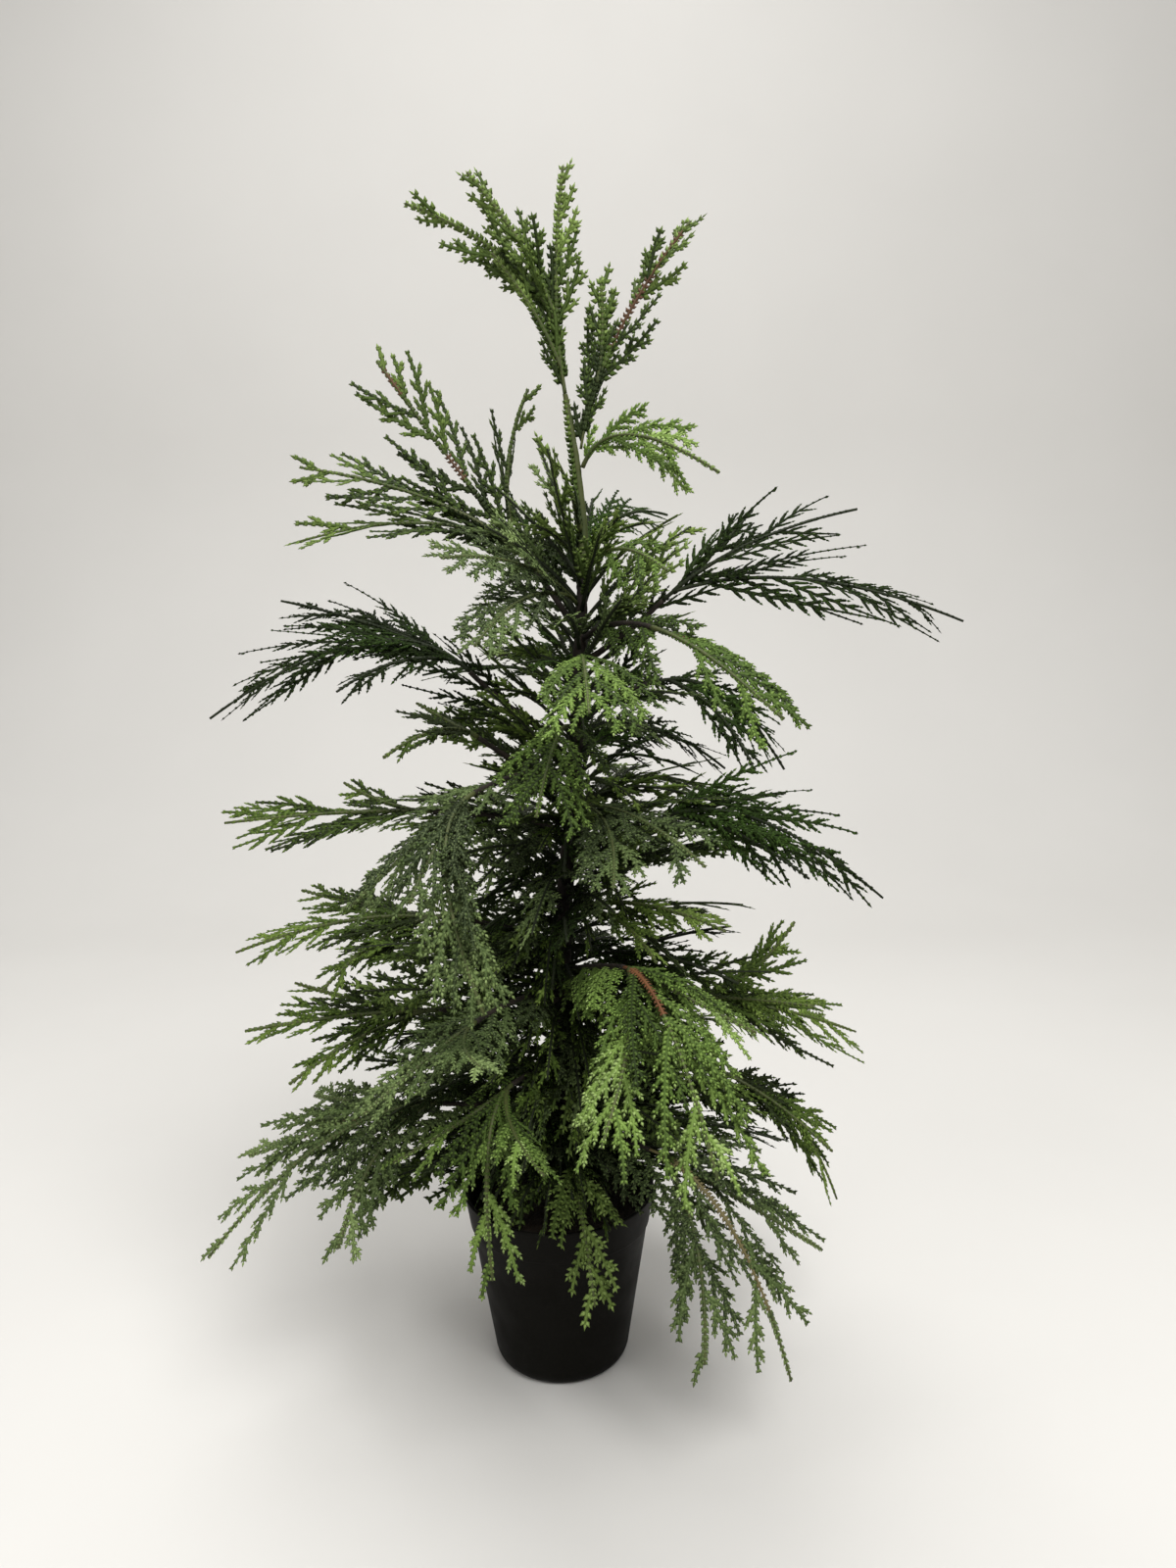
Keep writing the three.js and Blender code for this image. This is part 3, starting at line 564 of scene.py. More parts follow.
# Rows with a habit of their own: length of the twigs, share of them kept, and how much lighter or deeper.
habits = {
    "leader": (0.8, 0.66, 0.25), "top_right": (0.92, 0.82, 0.0), "upper_left": (1.05, 0.8, 0.0),
    "crown_small": (0.8, 1.0, 0.0), "left_mid": (1.25, 1.0, -0.1), "left_long": (1.3, 1.0, 0.05),
    "arch_right": (1.0, 1.0, 0.3), "right_low": (1.5, 1.1, 0.1), "right_lower": (1.1, 1.0, 0.1),
    "front_mid": (1.05, 1.0, -0.08), "front_high": (1.2, 1.1, 0.1), "left_front_high": (1.0, 1.0, -0.2),
    "left_high": (1.0, 1.0, -0.15), "right_high": (1.0, 0.9, -0.3), "right_bright": (1.15, 1.1, 0.0),
    "front_right_mid": (0.95, 0.9, -0.12), "front_bottom": (1.15, 1.0, 0.2),
    "front_right_low": (1.15, 1.05, 0.1), "front_left_bottom": (1.0, 1.0, 0.1),
    "right_bottom": (0.95, 0.55, 0.0), "left_bottom": (1.0, 0.8, 0.1),
}
knobbyRows = {"right_low": 0.6, "right_lower": 0.5, "left_mid": 0.3}  # share of knobby twigs
narrowRows = {"upper_left": (24, 0.85), "right_high": (21, 0.85), "left_long": (26, 0.95)}  # angle, size
# Twigs along the boughs; their shade is painted deeper, as shade close to the trunk.
onBough = {
    "twig": 42, "sizes": (0.7, 1.3), "bare": 0.12, "shade": -0.3,
    "longer": {"right_bottom": 1.6, "left_bottom": 1.3, "front_left_bottom": 1.3, "left_high": 1.35},
}
onBare = {"step": 6.5, "twig": 24, "sizes": (0.7, 1.3)}  # short twigs where the solids' stem is bare
rowTones = (-0.15, 0.15)
# the leader's scales on the trunk's top are painted deeper, as shade in the leader's middle
onTrunkPaintedShade = -0.2

# Inner sprays: short sprays that fill the crown close to the trunk, in three layers: all round it, over
# the filling, and in front of it at chance angles. Low and high are the two ends of a layer. Their shade
# runs from deep low down to lighter high up, painted shade inside and under the crown, and their stems
# have the dark twigs' surface as painted shade.
inner = {
    "turn": 137.5, "twist": 2.0, "tints": ("olive", "dark", "mid", "olive", "grey"), "coarse": 1.25,
    "step": 5, "slimness": 0.95, "inTrunk": 0.8, "front": -0.6, "fadeFrom": 100, "fadeOver": 350,
    "paintedShadeLow": -0.35, "paintedShadeHigh": 0.3, "bareLow": 0.05, "bareHigh": 0.17, "tones": (-0.15, 0.1),
    "reaches": (0.66, 1.08), "droops": (0.7, 1.05),
    "layers": [
        {"count": 180, "low": 106, "high": 432, "crowding": 1.35, "reachLow": 138, "reachHigh": 46,
         "liftLow": (-56, 22), "liftHigh": (6, 66), "riseLow": 20, "riseHigh": 56, "lowest": 98,
         "frontLow": 158, "frontShort": 0.5},
        {"count": 56, "low": 100, "high": 142, "crowding": 1.0, "reachLow": 60, "reachHigh": 70,
         "liftLow": (-4, 10), "liftHigh": (-8, 14), "riseLow": 20, "riseHigh": 26, "lowest": 99,
         "frontLow": 0, "frontShort": 1.0},
        {"count": 26, "low": 142, "high": 300, "crowding": 1.0, "reachLow": 96, "reachHigh": 74,
         "liftLow": (-34, 4), "liftHigh": (-40, 4), "riseLow": 22, "riseHigh": 34, "lowest": 104,
         "frontLow": 0, "frontShort": 1.0, "around": (-92, 58)},
    ],
}

# Stretches of stem that have turned rusty or brown: [stem, from, to, finish] by row.
browned = {
    "top_right": [(0, 0.45, 0.95, "brown")],
    "upper_left": [(0, 0.42, 0.55, "brown"), (0, 0.84, 0.95, "brown")],
    "right_bright": [(1, 0.0, 0.5, "brown")], "front_right_low": [(0, 0.0, 0.48, "rust")],
    "left_bottom": [(1, 0.1, 0.75, "tan")], "right_bottom": [(0, 0.0, 0.8, "tan")],
}
finishes = {
    "rust": [(90, 56, 32), (108, 70, 41)], "brown": [(70, 48, 30), (88, 62, 40)],
    "tan": [(106, 96, 62), (92, 86, 54)],
}
finishNames = tuple(finishes)
finishShade = 100  # shades from here on are the finishes of a stem that has turned
finishLook = {
    "patch": 90, "fine": 900, "depth": 0.3, "relief": 0.5, "roughness": (0.55, 0.75), "specular": 0.3,
}
leafLook = {
    "patch": 60, "speck": 1100, "fine": 1400, "depth": 0.35, "relief": 0.55,
    "roughness": (0.58, 0.78), "specular": 0.14,
}
# start and steps turn a shade into one of a tint's lit and shaded copies, painted shade and light; second
# is how deep a colour's patches go
leafShades = {"start": 0.1, "steps": 2.8, "second": 0.8}
seeds = {"row": 7100, "inner": 7900}
mostTriangles = 190000  # of one piece


def finishAt(stem, share):
    # -1 where the stem is green, or the number of the finish that it has turned to
    for low, high, finish in stem["browned"]:
        if low <= share <= high:
            return finishNames.index(finish)
    return -1


def ringQuads(rings, sides):
    # the faces between rings of corners that follow one another
    quads = []
    for k in range(rings - 1):
        for i in range(sides):
            j = (i + 1) % sides
            quads.append((k * sides + i, k * sides + j, (k + 1) * sides + j, (k + 1) * sides + i))
    return quads


def cordRings(bumps, narrowing):
    # share of the length, width, depth and forward lean of each ring of a scaly cord, root to tip
    rings = [(0.0, cord["root"], cord["root"], 0.0)]
    for k in range(bumps):
        taper = 1 - narrowing * k / bumps
        width = taper * between(cord["waist"], 1, k % 2)
        rings.append(((k + 0.5) / bumps, width, taper, cord["lean"] / bumps))
    return np.array(rings)


def cords(bumps, narrowing, start, first, second, face, half, depth):
    # closed scaly cords on the curves start + first u + second u², each with four corners to a ring
    share, width, thick, lean = cordRings(bumps, narrowing).T

    def at(u):
        return start[:, None] + first[:, None] * u[None, :, None] + second[:, None] * (u * u)[None, :, None]

    way = unit(first[:, None] + 2 * second[:, None] * share[None, :, None])
    side = unit(np.cross(face[:, None], way))
    top = np.cross(way, side)
    middle, edge = at(share), at(share + lean)
    wide = side * (width[None, :, None] * half[:, None, None])
    high = top * (thick[None, :, None] * depth[:, None, None])
    corners = np.stack([edge + wide, middle + high, edge - wide, middle - high], axis=2)
    points = np.concatenate([corners.reshape(len(start), -1, 3), at(np.ones(1))], axis=1)
    quads = [(3, 2, 1, 0)] + ringQuads(len(share), 4)
    last, tip = 4 * (len(share) - 1), 4 * len(share)
    triangles = [(last + i, last + (i + 1) % 4, tip) for i in range(4)]
    return points, np.array(quads), np.array(triangles)


def scales(start, head, face, half, depth):
    # closed pointed scales, ridged on top and flat below: a root, two edges, a ridge and a tip
    side = unit(np.cross(face, head))
    top = unit(np.cross(head, side))
    wide, high = side * half[:, None], top * depth[:, None]
    middle = start + head * leafScale["widest"]
    points = np.stack([start, middle + wide, middle - wide, middle + high, start + head], axis=1)
    triangles = np.array([(0, 2, 3), (2, 4, 3), (4, 1, 3), (1, 0, 3), (0, 1, 2), (1, 4, 2)])
    return points, np.zeros((0, 4), int), triangles


class Heap:
    # vertices and faces of one joined piece
    def __init__(self):
        self.points, self.quads, self.triangles = [], [], []
        self.quadSlots, self.triangleSlots, self.count = [], [], 0

    def add(self, points, quads, triangles, slots):
        copies, each = points.shape[:2]
        offset = self.count + each * np.arange(copies)[:, None, None]
        self.points.append(points.reshape(-1, 3))
        for faces, kept, kinds in (
                (quads, self.quads, self.quadSlots), (triangles, self.triangles, self.triangleSlots)):
            if len(faces):
                kept.append((offset + faces[None]).reshape(-1, faces.shape[1]))
                kinds.append(np.repeat(slots, len(faces)))
        self.count += copies * each

    def merge(self, part):
        self.points += part.points
        self.quads += [faces + self.count for faces in part.quads]
        self.triangles += [faces + self.count for faces in part.triangles]
        self.quadSlots += part.quadSlots
        self.triangleSlots += part.triangleSlots
        self.count += part.count

    def faceCount(self):
        # in triangles
        return 2 * sum(map(len, self.quads)) + sum(map(len, self.triangles))

    def piece(self, name, materials):
        points = np.concatenate(self.points) * mm
        quads = np.concatenate([np.zeros((0, 4), int)] + self.quads)
        triangles = np.concatenate([np.zeros((0, 3), int)] + self.triangles)
        mesh = bpy.data.meshes.new(name)
        mesh.vertices.add(len(points))
        mesh.vertices.foreach_set("co", points.astype(np.float32).ravel())
        corners = np.concatenate([quads.ravel(), triangles.ravel()]).astype(np.int32)
        sizes = np.concatenate([np.full(len(quads), 4), np.full(len(triangles), 3)])
        mesh.loops.add(len(corners))
        mesh.loops.foreach_set("vertex_index", corners)
        mesh.polygons.add(len(sizes))
        starts = np.concatenate([[0], np.cumsum(sizes)[:-1]]).astype(np.int32)
        mesh.polygons.foreach_set("loop_start", starts)
        slots = np.concatenate(self.quadSlots + self.triangleSlots).astype(np.int32)
        mesh.polygons.foreach_set("material_index", slots)
        mesh.polygons.foreach_set("use_smooth", np.ones(len(sizes), bool))
        for material in materials:
            mesh.materials.append(material)
        mesh.update(calc_edges=True)
        mesh.validate()
        piece = bpy.data.objects.new(name, mesh)
        bpy.context.scene.collection.objects.link(piece)
        return piece


def tube(heap, curve, radii, sides, step, level, slotAt, relief):
    # a closed tube along a curve, with its relief and a material slot for each place on it
    length = curveLength(curve)
    rings = max(6, int(length / step))
    t = np.linspace(0, 1, rings)
    middle, way = onCurve(curve, t), ahead(curve, t)
    across = unit(np.cross(way, level))
    side = np.cross(across, way)
    turn = np.arange(sides) * 2 * math.pi / sides
    radius = between(*radii, t)
    size = radius[:, None] + relief(turn[None, :], t[:, None] * length)
    ring = side[:, None] * np.cos(turn)[None, :, None] + across[:, None] * np.sin(turn)[None, :, None]
    points = (middle[:, None] + ring * size[..., None]).reshape(1, -1, 3)
    points = np.concatenate([points, middle[None, [0, -1]]], axis=1)
    triangles = []
    first, last = rings * sides, rings * sides + 1
    for i in range(sides):
        j = (i + 1) % sides
        triangles.append((first, j, i))
        triangles.append((last, (rings - 1) * sides + i, (rings - 1) * sides + j))
    kinds = np.array([slotAt((k + 0.5) / (rings - 1)) for k in range(rings - 1)])
    heap.add(points, np.array(ringQuads(rings, sides)), np.array(triangles), kinds[:1])
    heap.quadSlots[-1] = np.repeat(kinds, sides)


def scaleRelief(turn, along):
    # small scales that lie forward along a stem, in mm
    phase = (along / limb["scalePitch"] + limb["scaleSlant"] * np.sin(2 * turn)) % 1.0
    return limb["scaleRise"] * phase * (1 + limb["scaleFlat"] * np.cos(2 * turn))


def tapedRelief(turn, along):
    # the overlap of the tape round a bough, and its small wrinkles, in mm
    phase = (along / limb["tapePitch"] + turn / (2 * math.pi)) % 1.0
    wrinkles = limb["tapeWrinkle"] * np.sin(limb["tapeWrinkles"] * turn + along)
    return limb["tapeStep"] * (1 - phase) + wrinkles


class Spray:
    # gathers the feathery twigs of one spray, then makes them in batches
    def __init__(self, tint, rng, tone, kept=1.0, coarse=1.0):
        self.style, self.rng, self.tone, self.coarse = foliage[tint], rng, tone, coarse
        self.kept, self.knobby = self.style["kept"] * kept, self.style["knobby"]
        self.toothAngle, self.tooth = self.style["toothAngle"], self.style["tooth"]
        self.axes, self.teeth = {}, []

    def row(self, points, ways, sides, face, sizes, angle, shade):
        # pairs of scales at the points, one to each side
        rng, style, count = self.rng, self.style, len(points)
        for sign in (-1, 1):
            turn = np.radians(angle * rng.uniform(*leafScale["angles"], count))[:, None]
            lift = face * rng.uniform(*leafScale["lifts"], (count, 1))
            head = ways * np.cos(turn) + sides * sign * np.sin(turn) + lift
            size = (sizes * rng.uniform(*leafScale["sizes"], count))[:, None]
            roll = unit(face + sides * rng.uniform(*leafScale["rolls"], (count, 1)))
            half = style["toothHalf"] * np.clip(size[:, 0] / style["tooth"], *leafScale["halves"])
            depth, shades = np.full(count, style["depth"]), np.full(count, shade)
            self.teeth.append((points, unit(head) * size, roll, half, depth, shades))

    def feather(self, start, first, second, face, shade, size=1.0, bare=0.0, angle=None):
        # a scaly axis on start + first u + second u², with scales in pairs and one at its tip
        style = self.style
        reach = np.linalg.norm(first + second)
        bumps = int(np.clip(round(reach / cord["bumpPitch"]), 2, cord["mostBumps"]))
        half = style["axisHalf"] * between(cord["thin"], 1, size)
        self.axes.setdefault(bumps, []).append(
            (start, first, second, face, half, style["depth"] * cord["depth"], shade + cord["shade"]))
        count = max(2, int(reach * (1 - bare) / style["pitch"] / self.coarse))
        u = bare + (1 - bare) * (np.arange(count) + leafScale["pairStart"]) / count
        points = start + first * u[:, None] + second * (u * u)[:, None]
        ways = unit(first + 2 * second * u[:, None])
        sides = unit(np.cross(face, ways))
        sizes = self.tooth * size * (1 - style["taper"] * u) * self.coarse ** 0.5
        along = shade + leafScale["shadeAlong"] * u.mean()
        self.row(points, ways, sides, face, sizes, angle or self.toothAngle, along)
        root = start + (first + second) * leafScale["tipFrom"]
        tip = unit(first + 2 * second) * self.tooth * size * leafScale["tipLength"]
        self.teeth.append((
            root[None], tip[None], face[None], np.array([half * leafScale["tipHalf"]]),
            np.array([style["depth"] * leafScale["tipDepth"]]), np.array([shade + leafScale["tipShade"]])))

    def branch(self, start, tangent, side, sign, angle, reach, face, shade):
        # a feathery twig, knobby or plain, and its own smaller twigs
        style, rng = self.style, self.rng
        ownAngle, size, droop = None, 1.0, style["droop"]
        if rng.uniform() < self.knobby:
            ownAngle, size, droop = knobby["angle"], knobby["size"], knobby["droop"]
            reach = reach * knobby["reach"]
        tilt = rng.uniform(-style["tilt"], style["tilt"])
        side, face = (
            side * math.cos(tilt) + face * math.sin(tilt), face * math.cos(tilt) - side * math.sin(tilt))
        outward = side * sign - up * twig["sag"]
        lean = math.sin(angle)
        head = tangent * math.cos(angle) + outward * lean + face * rng.uniform(*branching["lifts"])
        first = head * reach
        second = (tangent * twig["curl"] - outward * lean * twig["turn"] - up * droop) * reach
        face = unit(face + side * rng.uniform(*branching["rolls"]))
        self.feather(start, first, second, face, shade, size, 0.0, ownAngle)
        self.smallerTwigs(start, first, second, face, reach, shade, size, ownAngle)

    def smallerTwigs(self, start, first, second, face, reach, shade, size, angle):
        # the smaller twigs of a feathery twig, to one side and the other
        style, rng = self.style, self.rng
        count = int(reach * style["subEnd"] / style["subPitch"] / self.coarse * 2)
        most = min(reach * style["subShare"], style["subMost"])
        for k in range(count):
            share = smaller["from"] + style["subEnd"] * (k + rng.uniform(*smaller["places"])) / count
            length = most * (1 - smaller["taper"] * share) * rng.uniform(*smaller["lengths"])
            if length < smaller["shortest"]:
                continue
            way = unit(first + 2 * second * share)
            across = unit(np.cross(face, way))
            outward = across * (-1 if k % 2 else 1)
            turn = math.radians(style["subAngle"] * rng.uniform(*smaller["angles"]))
            lift = face * rng.uniform(*smaller["lifts"])
            head = unit(way * math.cos(turn) + outward * math.sin(turn) + lift)
            droop = up * style["droop"] * smaller["droop"]
            bend = way * smaller["curl"] - outward * smaller["turn"] - droop
            root = start + first * share + second * share * share
            roll = unit(face + across * rng.uniform(*smaller["rolls"]))
            self.feather(root, head * length, bend * length, roll, shade + smaller["shade"],
                         smaller["size"] * size, smaller["bare"], angle)

    def twigAt(self, stem, t, angle, reach, sign, slimness, shade):
        # one twig of a stem, where chance keeps it; its upper face is turned up
        style, rng, curve = self.style, self.rng, stem["curve"]
        tangent = ahead(curve, t)
        side = sideOf(stem, tangent)
        face = np.cross(tangent, side)
        if face[2] < 0:
            side, face, sign = -side, -face, -sign
        size = reach * style["reach"] * slimness * (1 - style["tipTaper"] * t)
        # painted shade and light: the tint's fade by place on the stem, over a chance tone of the twig
        lift = shade + style["fade"][0] + style["fade"][1] * t + rng.uniform(*branching["shades"])
        if rng.uniform() < self.kept:
            self.branch(onCurve(curve, t), tangent, side, sign, angle * style["turn"], size, face, lift)

    def coverStem(self, stem, shade):
        # scales on the stem itself, slimmer to its tip; steep stems have them on both faces
        style, curve, length = self.style, stem["curve"], stem["length"]
        bare = stem["bare"] if self.coarse > 1 else min(stem["bare"], limb["bareAtBough"])
        u = np.arange(bare * length + limb["coverFrom"], length * twig["end"], limb["scalePitch"]) / length
        ways = ahead(curve, u)
        sides = sideOf(stem, ways)
        faces = np.cross(ways, sides)
        faces *= np.where(faces[:, 2:] < 0, -1, 1)
        steep = np.abs(faces[:, 2]).mean() < limb["steepFace"]
        finishHere = np.array([finishAt(stem, share) for share in u])
        for finish in sorted(set(finishHere)):
            here = finishHere == finish
            points, way, side, face = onCurve(curve, u[here]), ways[here], sides[here], faces[here]
            sizes = self.tooth * (1 - limb["slenderTip"] * u[here])
            if finish >= 0:
                self.row(points, way, side, face, sizes * limb["turnedSize"], limb["turnedAngle"],
                         finishShade + finish)
                continue
            # painted shade and light along the stem, by the tint's fade
            lift = shade + style["fade"][0] + style["fade"][1] * u[here]
            self.row(points, way, side, face, sizes, self.toothAngle, lift)
            if self.coarse > 1:
                continue
            thick = between(limb["stemRadius"], limb["stemTip"], u[here, None]) * stem.get("thick", 1.0)
            for over in (1, -1) if steep else (1,):
                self.row(points + face * over * thick * limb["coverLift"], way, side, face * over,
                         sizes * limb["coverSize"], limb["coverAngle"], lift)

    def endStem(self, stem, shade):
        # the feathery end of a stem, on its last stretch
        curve = stem["curve"]
        share = max(limb["endFrom"], 1 - limb["endLength"] / stem["length"])
        start, middle, tip = onCurve(curve, share), onCurve(curve, (share + 1) / 2), onCurve(curve, 1.0)
        second = 2 * (start + tip - 2 * middle)
        tangent = ahead(curve, share)
        face = np.cross(tangent, sideOf(stem, tangent))
        # the end takes the shade of a stem's tip by the tint's fade, painted light and shade
        lift = shade + sum(self.style["fade"]) + limb["endShade"]
        self.feather(start, tip - start - second, second, face if face[2] >= 0 else -face, lift,
                     limb["endSize"])

    def dress(self, stem, found, slimness=1.0, shade=0.0):
        # twigs along a stem or bough, and the scales on it
        for t, angle, reach, sign in found:
            self.twigAt(stem, t, angle, reach, sign, slimness, shade)
        self.coverStem(stem, shade)

    def make(self):
        # the spray's [leaves, twigs], with the colour or the finish for each shade
        style, leaves, twigs = self.style, Heap(), Heap()

        # each shade picks one of the tint's lit and shaded copies, painted shade and light, or a finish
        def slots(shade):
            tonesAndPaintedShades = len(style["tonesAndPaintedShades"])
            green = np.floor((shade + self.tone + leafShades["start"]) * leafShades["steps"])
            green = np.clip(green, 0, tonesAndPaintedShades - 1)
            return np.where(shade < finishShade, green, tonesAndPaintedShades + shade - finishShade).astype(int)

        for bumps, found in sorted(self.axes.items()):
            start, first, second, face, half, depth, shade = (np.array(part) for part in zip(*found))
            shapes = cords(bumps, style["taper"], start, first, second, face, half, depth)
            twigs.add(*shapes, slots(shade))
        start, head, face, half, depth, shade = (np.concatenate(part) for part in zip(*self.teeth))
        leaves.add(*scales(start, head, face, half, depth), slots(shade))
        return leaves, twigs


def innerStem(layer, index, share):
    # a short stem of a layer, share of the way through it
    height = between(layer["low"], layer["high"], share)
    azimuth = index * inner["turn"]
    if "around" in layer:
        middle, spread = layer["around"]
        azimuth = middle + spread * (2 * chance(keys["innerAround"], index) - 1)
    lifted = chance(keys["innerLift"], index)
    reach = between(layer["reachLow"], layer["reachHigh"], share)
    reach *= between(*inner["reaches"], chance(keys["innerReach"], index))
    reach *= between(*inner["droops"], lifted)
    if height < layer["frontLow"] and math.sin(math.radians(azimuth)) < inner["front"]:
        reach *= layer["frontShort"]
    lean, radius = alongTrunk(height)
    start = np.array([lean, 0, height]) + direction(azimuth, 0) * radius * inner["inTrunk"]
    low, high = [between(a, b, share) for a, b in zip(layer["liftLow"], layer["liftHigh"])]
    tipHeight = max(layer["lowest"], height + between(low, high, lifted))
    tip = crownPoint(height, azimuth, reach, tipHeight)
    rise = between(layer["riseLow"], layer["riseHigh"], share)
    knee = start + direction(azimuth, rise) * np.linalg.norm(tip - start) * limb["bend"]
    upward = (height - inner["fadeFrom"]) / inner["fadeOver"]
    twist = (chance(keys["innerTwist"], index) - 0.5) * inner["twist"]
    bare = between(inner["bareLow"], inner["bareHigh"], upward)
    # painted shade: the lower the stem leaves the trunk, the deeper its spray
    shade = between(inner["paintedShadeLow"], inner["paintedShadeHigh"], upward)
    return stemOf((start, knee, tip), twist, math.radians(azimuth), bare, shade=shade)


def innerStems():
    # [tint, stem] of each inner spray
    found = []
    for layer in inner["layers"]:
        for k in range(layer["count"]):
            index, share = len(found), ((k + 0.5) / layer["count"]) ** layer["crowding"]
            found.append((inner["tints"][index % len(inner["tints"])], innerStem(layer, index, share)))
    return found


def stemTube(stems, stem, step, tint):
    # the tube of one stem, thinner and with the finish's own surface where it has turned
    # the dark twigs' surface goes on the dark tint's stems, and on the inner sprays' stems as painted shade
    green = 1 + len(finishes) if tint == "dark" else 0
    thick = limb["turnedStem"] if stem["browned"] else 1.0

    def slotAt(share):
        finish = finishAt(stem, share)
        return green if finish < 0 else finish + 1

    radii = (limb["stemRadius"] * thick, limb["stemTip"])
    tube(stems, stem["curve"], radii, limb["stemSides"], step, stem["level"], slotAt, scaleRelief)


def dressTrunkTop(spray, at, stem):
    # the leader's scales, on the trunk's green top, painted deeper as shade
    low, high = [np.array([alongTrunk(z)[0], 0.0, z]) for z in (trunk["scalesFrom"], at)]
    own = {**stem, "curve": (low, (low + high) / 2, high), "length": np.linalg.norm(high - low),
           "bare": 0.0, "browned": [], "thick": trunk["scalesOut"]}
    spray.dress(own, [], 1.0, onTrunkPaintedShade)


def dressBough(boughs, spray, rowIndex, bough, stem):
    # a bough's taped tube, and short twigs along it, painted deeper as shade
    name, _, _, fork, _, _ = crown[rowIndex]
    level = unit(np.cross(up, direction(fork[0], 0)))
    radii = (limb["boughRadius"] - limb["tapeRoom"], limb["boughTip"] - limb["tapeRoomTip"])
    tube(boughs, bough, radii, limb["boughSides"], limb["boughStep"], level, lambda share: 0, tapedRelief)
    own = {**stem, "curve": bough, "length": curveLength(bough), "bare": onBough["bare"], "browned": []}
    size = onBough["twig"] * onBough["longer"].get(name, 1.0)
    found = []
    for k, (t, angle, _, sign) in enumerate(twigsOf(rowIndex, keys["boughTwigs"], own)):
        share = chance(rowIndex, keys["boughSize"], k)
        found.append((t, angle, size * between(*onBough["sizes"], share), sign))
    spray.dress(own, found, 1.0, onBough["shade"])


def rowTwigs(rowIndex, stemIndex, stem, style):
    # the rule's twigs but for the last, some between them, and short ones where the stem is bare
    found = [one for one in twigsOf(rowIndex, stemIndex, stem) if one[0] < style["end"]]
    if style["between"]:
        found += [((a[0] + b[0]) / 2, b[1], b[2] * style["between"], a[3])
                  for a, b in zip(found, found[1:])]
    spare = int(stem["bare"] * stem["length"] / onBare["step"])
    for k in range(spare):
        near = stem["bare"] * (k + 0.5) / spare
        share = chance(rowIndex, stemIndex, keys["bareTwigs"] + k)
        size = onBare["twig"] * between(*onBare["sizes"], share)
        found.append((near, math.radians(twig["angle"]), size, -1 if k % 2 else 1))
    return found


def makeRow(rowIndex, boughs, stems):
    # one row of the crown: its bough, its stems and their spray
    row = crown[rowIndex]
    name, at, _, _, tint, _ = row
    bough, found = limbsOf(row)
    rng = np.random.default_rng(seeds["row"] + rowIndex)
    slimness, kept, tone = habits.get(name, (1.0, 1.0, 0.0))
    spray = Spray(tint, rng, rng.uniform(*rowTones) + tone, kept)
    spray.knobby = knobbyRows.get(name, spray.knobby)
    if name in narrowRows:
        spray.toothAngle, size = narrowRows[name]
        spray.tooth *= size
    if name == "leader":
        dressTrunkTop(spray, at, found[0])
    if bough:
        dressBough(boughs, spray, rowIndex, bough, found[0])
    for stemIndex, stem in enumerate(found):
        stemTube(stems, stem, limb["stemStep"], tint)
        spray.dress(stem, rowTwigs(rowIndex, stemIndex, stem, foliage[tint]), slimness)
        spray.endStem(stem, 0.0)
    return spray.make()


def makeInner(index, tint, stem, stems):
    # one inner spray, its scales fewer and larger than those of the rows; its stem has the dark twigs'
    # surface, painted shade inside the crown
    rng = np.random.default_rng(seeds["inner"] + index)
    stemTube(stems, stem, inner["step"], "dark")
    spray = Spray(tint, rng, rng.uniform(*inner["tones"]), 1.0, inner["coarse"])
    found = twigsOf(keys["innerTwigs"], index, stem)
    spray.dress(stem, found, inner["slimness"], stem["shade"])
    spray.endStem(stem, stem["shade"])
    return spray.make()


def leafSurfaces(tint):
    # a tint's surfaces from deep to light, lit and shaded copies of its green for painted shade and light,
    # dusty where the tint is
    surfaces, style = [], foliage[tint]
    for k, colour in enumerate(style["tonesAndPaintedShades"]):
        look = {**leafLook, "colour": colour, "second": [round(c * leafShades["second"]) for c in colour]}
        look["specular"] = style.get("specular", leafLook["specular"])
        if "dust" in style:
            look["dust"], look["dustiness"] = style["dust"]
        surfaces.append(surface(tint + "Leaf" + str(k + 1), look))
    return surfaces


def joinSprays(tint, sprays, nodes, materials):
    # a tint's leaves and its twigs, each kind joined, in pieces of a fair size
    for kind in ("Leaves", "Twigs"):
        heaps = [spray[kind == "Twigs"] for spray in sprays]
        groups = [[]]
        for heap in heaps:
            if sum(one.faceCount() for one in groups[-1] + [heap]) > mostTriangles:
                groups.append([])
            groups[-1].append(heap)
        for number, group in enumerate(groups):
            whole = Heap()
            for heap in group:
                whole.merge(heap)
            tail = "" if len(groups) == 1 else str(number + 1)
            piece = whole.piece(tint + kind + tail, materials)
            keep(piece, nodes)
            print(piece.name, whole.faceCount(), "triangles")


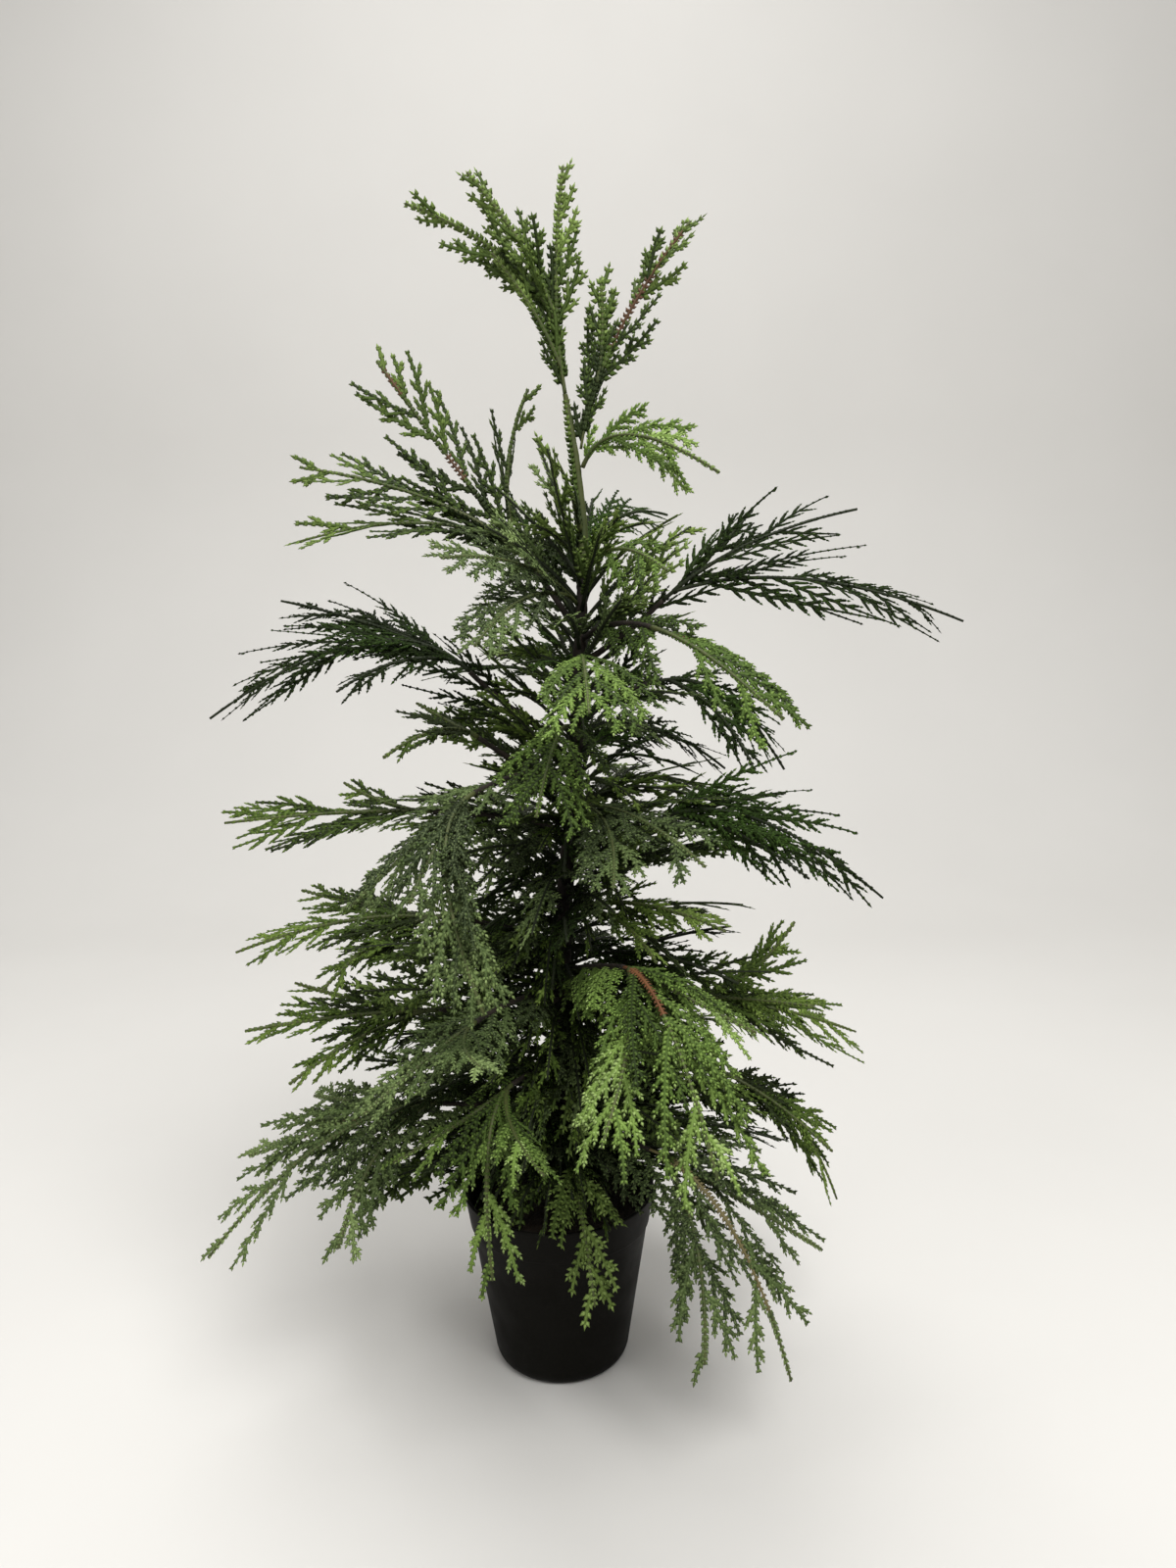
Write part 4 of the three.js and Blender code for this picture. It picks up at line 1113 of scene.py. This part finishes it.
def makeCrown():
    boughs, stems = Heap(), Heap()
    sprays = {tint: [] for tint in foliage}
    for rowIndex, row in enumerate(crown):
        sprays[row[4]].append(makeRow(rowIndex, boughs, stems))
    for index, (tint, stem) in enumerate(innerStems()):
        sprays[tint].append(makeInner(index, tint, stem, stems))
    boughPiece = boughs.piece("boughsTaped", [surface("boughTape", {**trunk["tape"], "patch": 200})])
    keep(boughPiece, ["bough_" + row[0] for row in crown if row[3]])
    finishSurfaces = [surface(name + "Twig", {**finishLook, "colour": first, "second": second})
                      for name, (first, second) in finishes.items()]
    greenStem = surface("greenTwig", {**trunk["stem"], "patch": 150})
    darkStem = surface("darkTwig", limb["darkStem"])
    stemPiece = stems.piece("sprayStems", [greenStem] + finishSurfaces + [darkStem])
    keep(stemPiece, ["spray_" + row[0] for row in crown])
    print("boughs and stems", boughs.faceCount() + stems.faceCount(), "triangles")
    for tint in foliage:
        nodes = ["spray_" + row[0] for row in crown if row[4] == tint]
        joinSprays(tint, sprays[tint], nodes, leafSurfaces(tint) + finishSurfaces)


# Stage: a seamless pale floor that curves up behind, soft light, and the camera.

stage = {
    "width": 6.0, "front": -1.6, "back": 1.5, "rise": 3.0, "bend": 0.7, "bendSteps": 24, "smooth": 40,
    "colour": (197, 195, 191), "world": (236, 235, 232), "worldStrength": 0.28,
    "camera": (0.019, -0.595, 0.406), "pitch": 8.81, "roll": 0.95, "lens": 27, "sensor": 36,
    "clipStart": 0.01,
    "lights": [
        ("key", (0.5, -1.1, 1.9), (0.0, 0.0, 0.3), 1.1, 54),
        ("fill", (-1.3, -0.9, 1.0), (0.0, 0.0, 0.3), 1.2, 9),
        ("top", (-0.2, 0.5, 2.1), (0.0, 0.0, 0.3), 1.1, 26),
    ],
}


def makeStage():
    clearSelection()
    depth = stage["back"] - stage["front"]
    bpy.ops.mesh.primitive_plane_add(size=1, location=(0, (stage["front"] + stage["back"]) / 2, 0))
    floor = bpy.context.active_object
    floor.name = floor.data.name = "studioFloor"
    floor.scale = (stage["width"], depth, 1)
    bpy.ops.object.transform_apply(location=True, rotation=False, scale=True)
    bpy.ops.object.mode_set(mode="EDIT")
    bpy.ops.mesh.select_all(action="DESELECT")
    bpy.ops.object.mode_set(mode="OBJECT")
    for edge in floor.data.edges:
        ends = [floor.data.vertices[i].co.y for i in edge.vertices]
        edge.select = min(ends) > stage["back"] - 0.01
    bpy.ops.object.mode_set(mode="EDIT")
    bpy.ops.mesh.select_mode(type="EDGE")
    bpy.ops.mesh.extrude_edges_move(TRANSFORM_OT_translate={"value": (0, 0, stage["rise"])})
    bpy.ops.object.mode_set(mode="OBJECT")
    apply(floor, "BEVEL", "curve", width=stage["bend"], segments=stage["bendSteps"], limit_method="ANGLE")
    bpy.ops.object.shade_smooth_by_angle(angle=math.radians(stage["smooth"]))
    floor.data.materials.append(surface("studioPaper", {
        "colour": stage["colour"], "second": [c - 3 for c in stage["colour"]], "patch": 3, "fine": 200,
        "depth": 0.05, "relief": 0.1, "roughness": (0.75, 0.85), "specular": 0.2,
    }))
    world = bpy.data.worlds.new("studioLight")
    world.use_nodes = True
    background = world.node_tree.nodes["Background"]
    background.inputs["Color"].default_value = linear(stage["world"])
    background.inputs["Strength"].default_value = stage["worldStrength"]
    bpy.context.scene.world = world
    for name, place, target, size, energy in stage["lights"]:
        light = bpy.data.lights.new(name, "AREA")
        light.size = size
        light.energy = energy
        lamp = bpy.data.objects.new(name, light)
        lamp.location = place
        lamp.rotation_euler = (Vector(target) - Vector(place)).to_track_quat("-Z", "Y").to_euler()
        bpy.context.scene.collection.objects.link(lamp)
    camera = bpy.data.cameras.new("camera")
    camera.lens = stage["lens"]
    camera.sensor_width = stage["sensor"]
    camera.clip_start = stage["clipStart"]
    view = bpy.data.objects.new("camera", camera)
    tilt = Matrix.Rotation(math.radians(90 - stage["pitch"]), 4, "X")
    roll = Matrix.Rotation(math.radians(-stage["roll"]), 4, "Z")
    view.matrix_world = Matrix.Translation(stage["camera"]) @ tilt @ roll
    bpy.context.scene.collection.objects.link(view)
    bpy.context.scene.camera = view


bpy.context.scene.view_settings.view_transform = "Standard"
makePot()
print("pot made")
makeFilling()
print("filling made")
makeTrunk()
print("trunk made")
makeCrown()
print("crown made")
makeStage()
print("stage made")
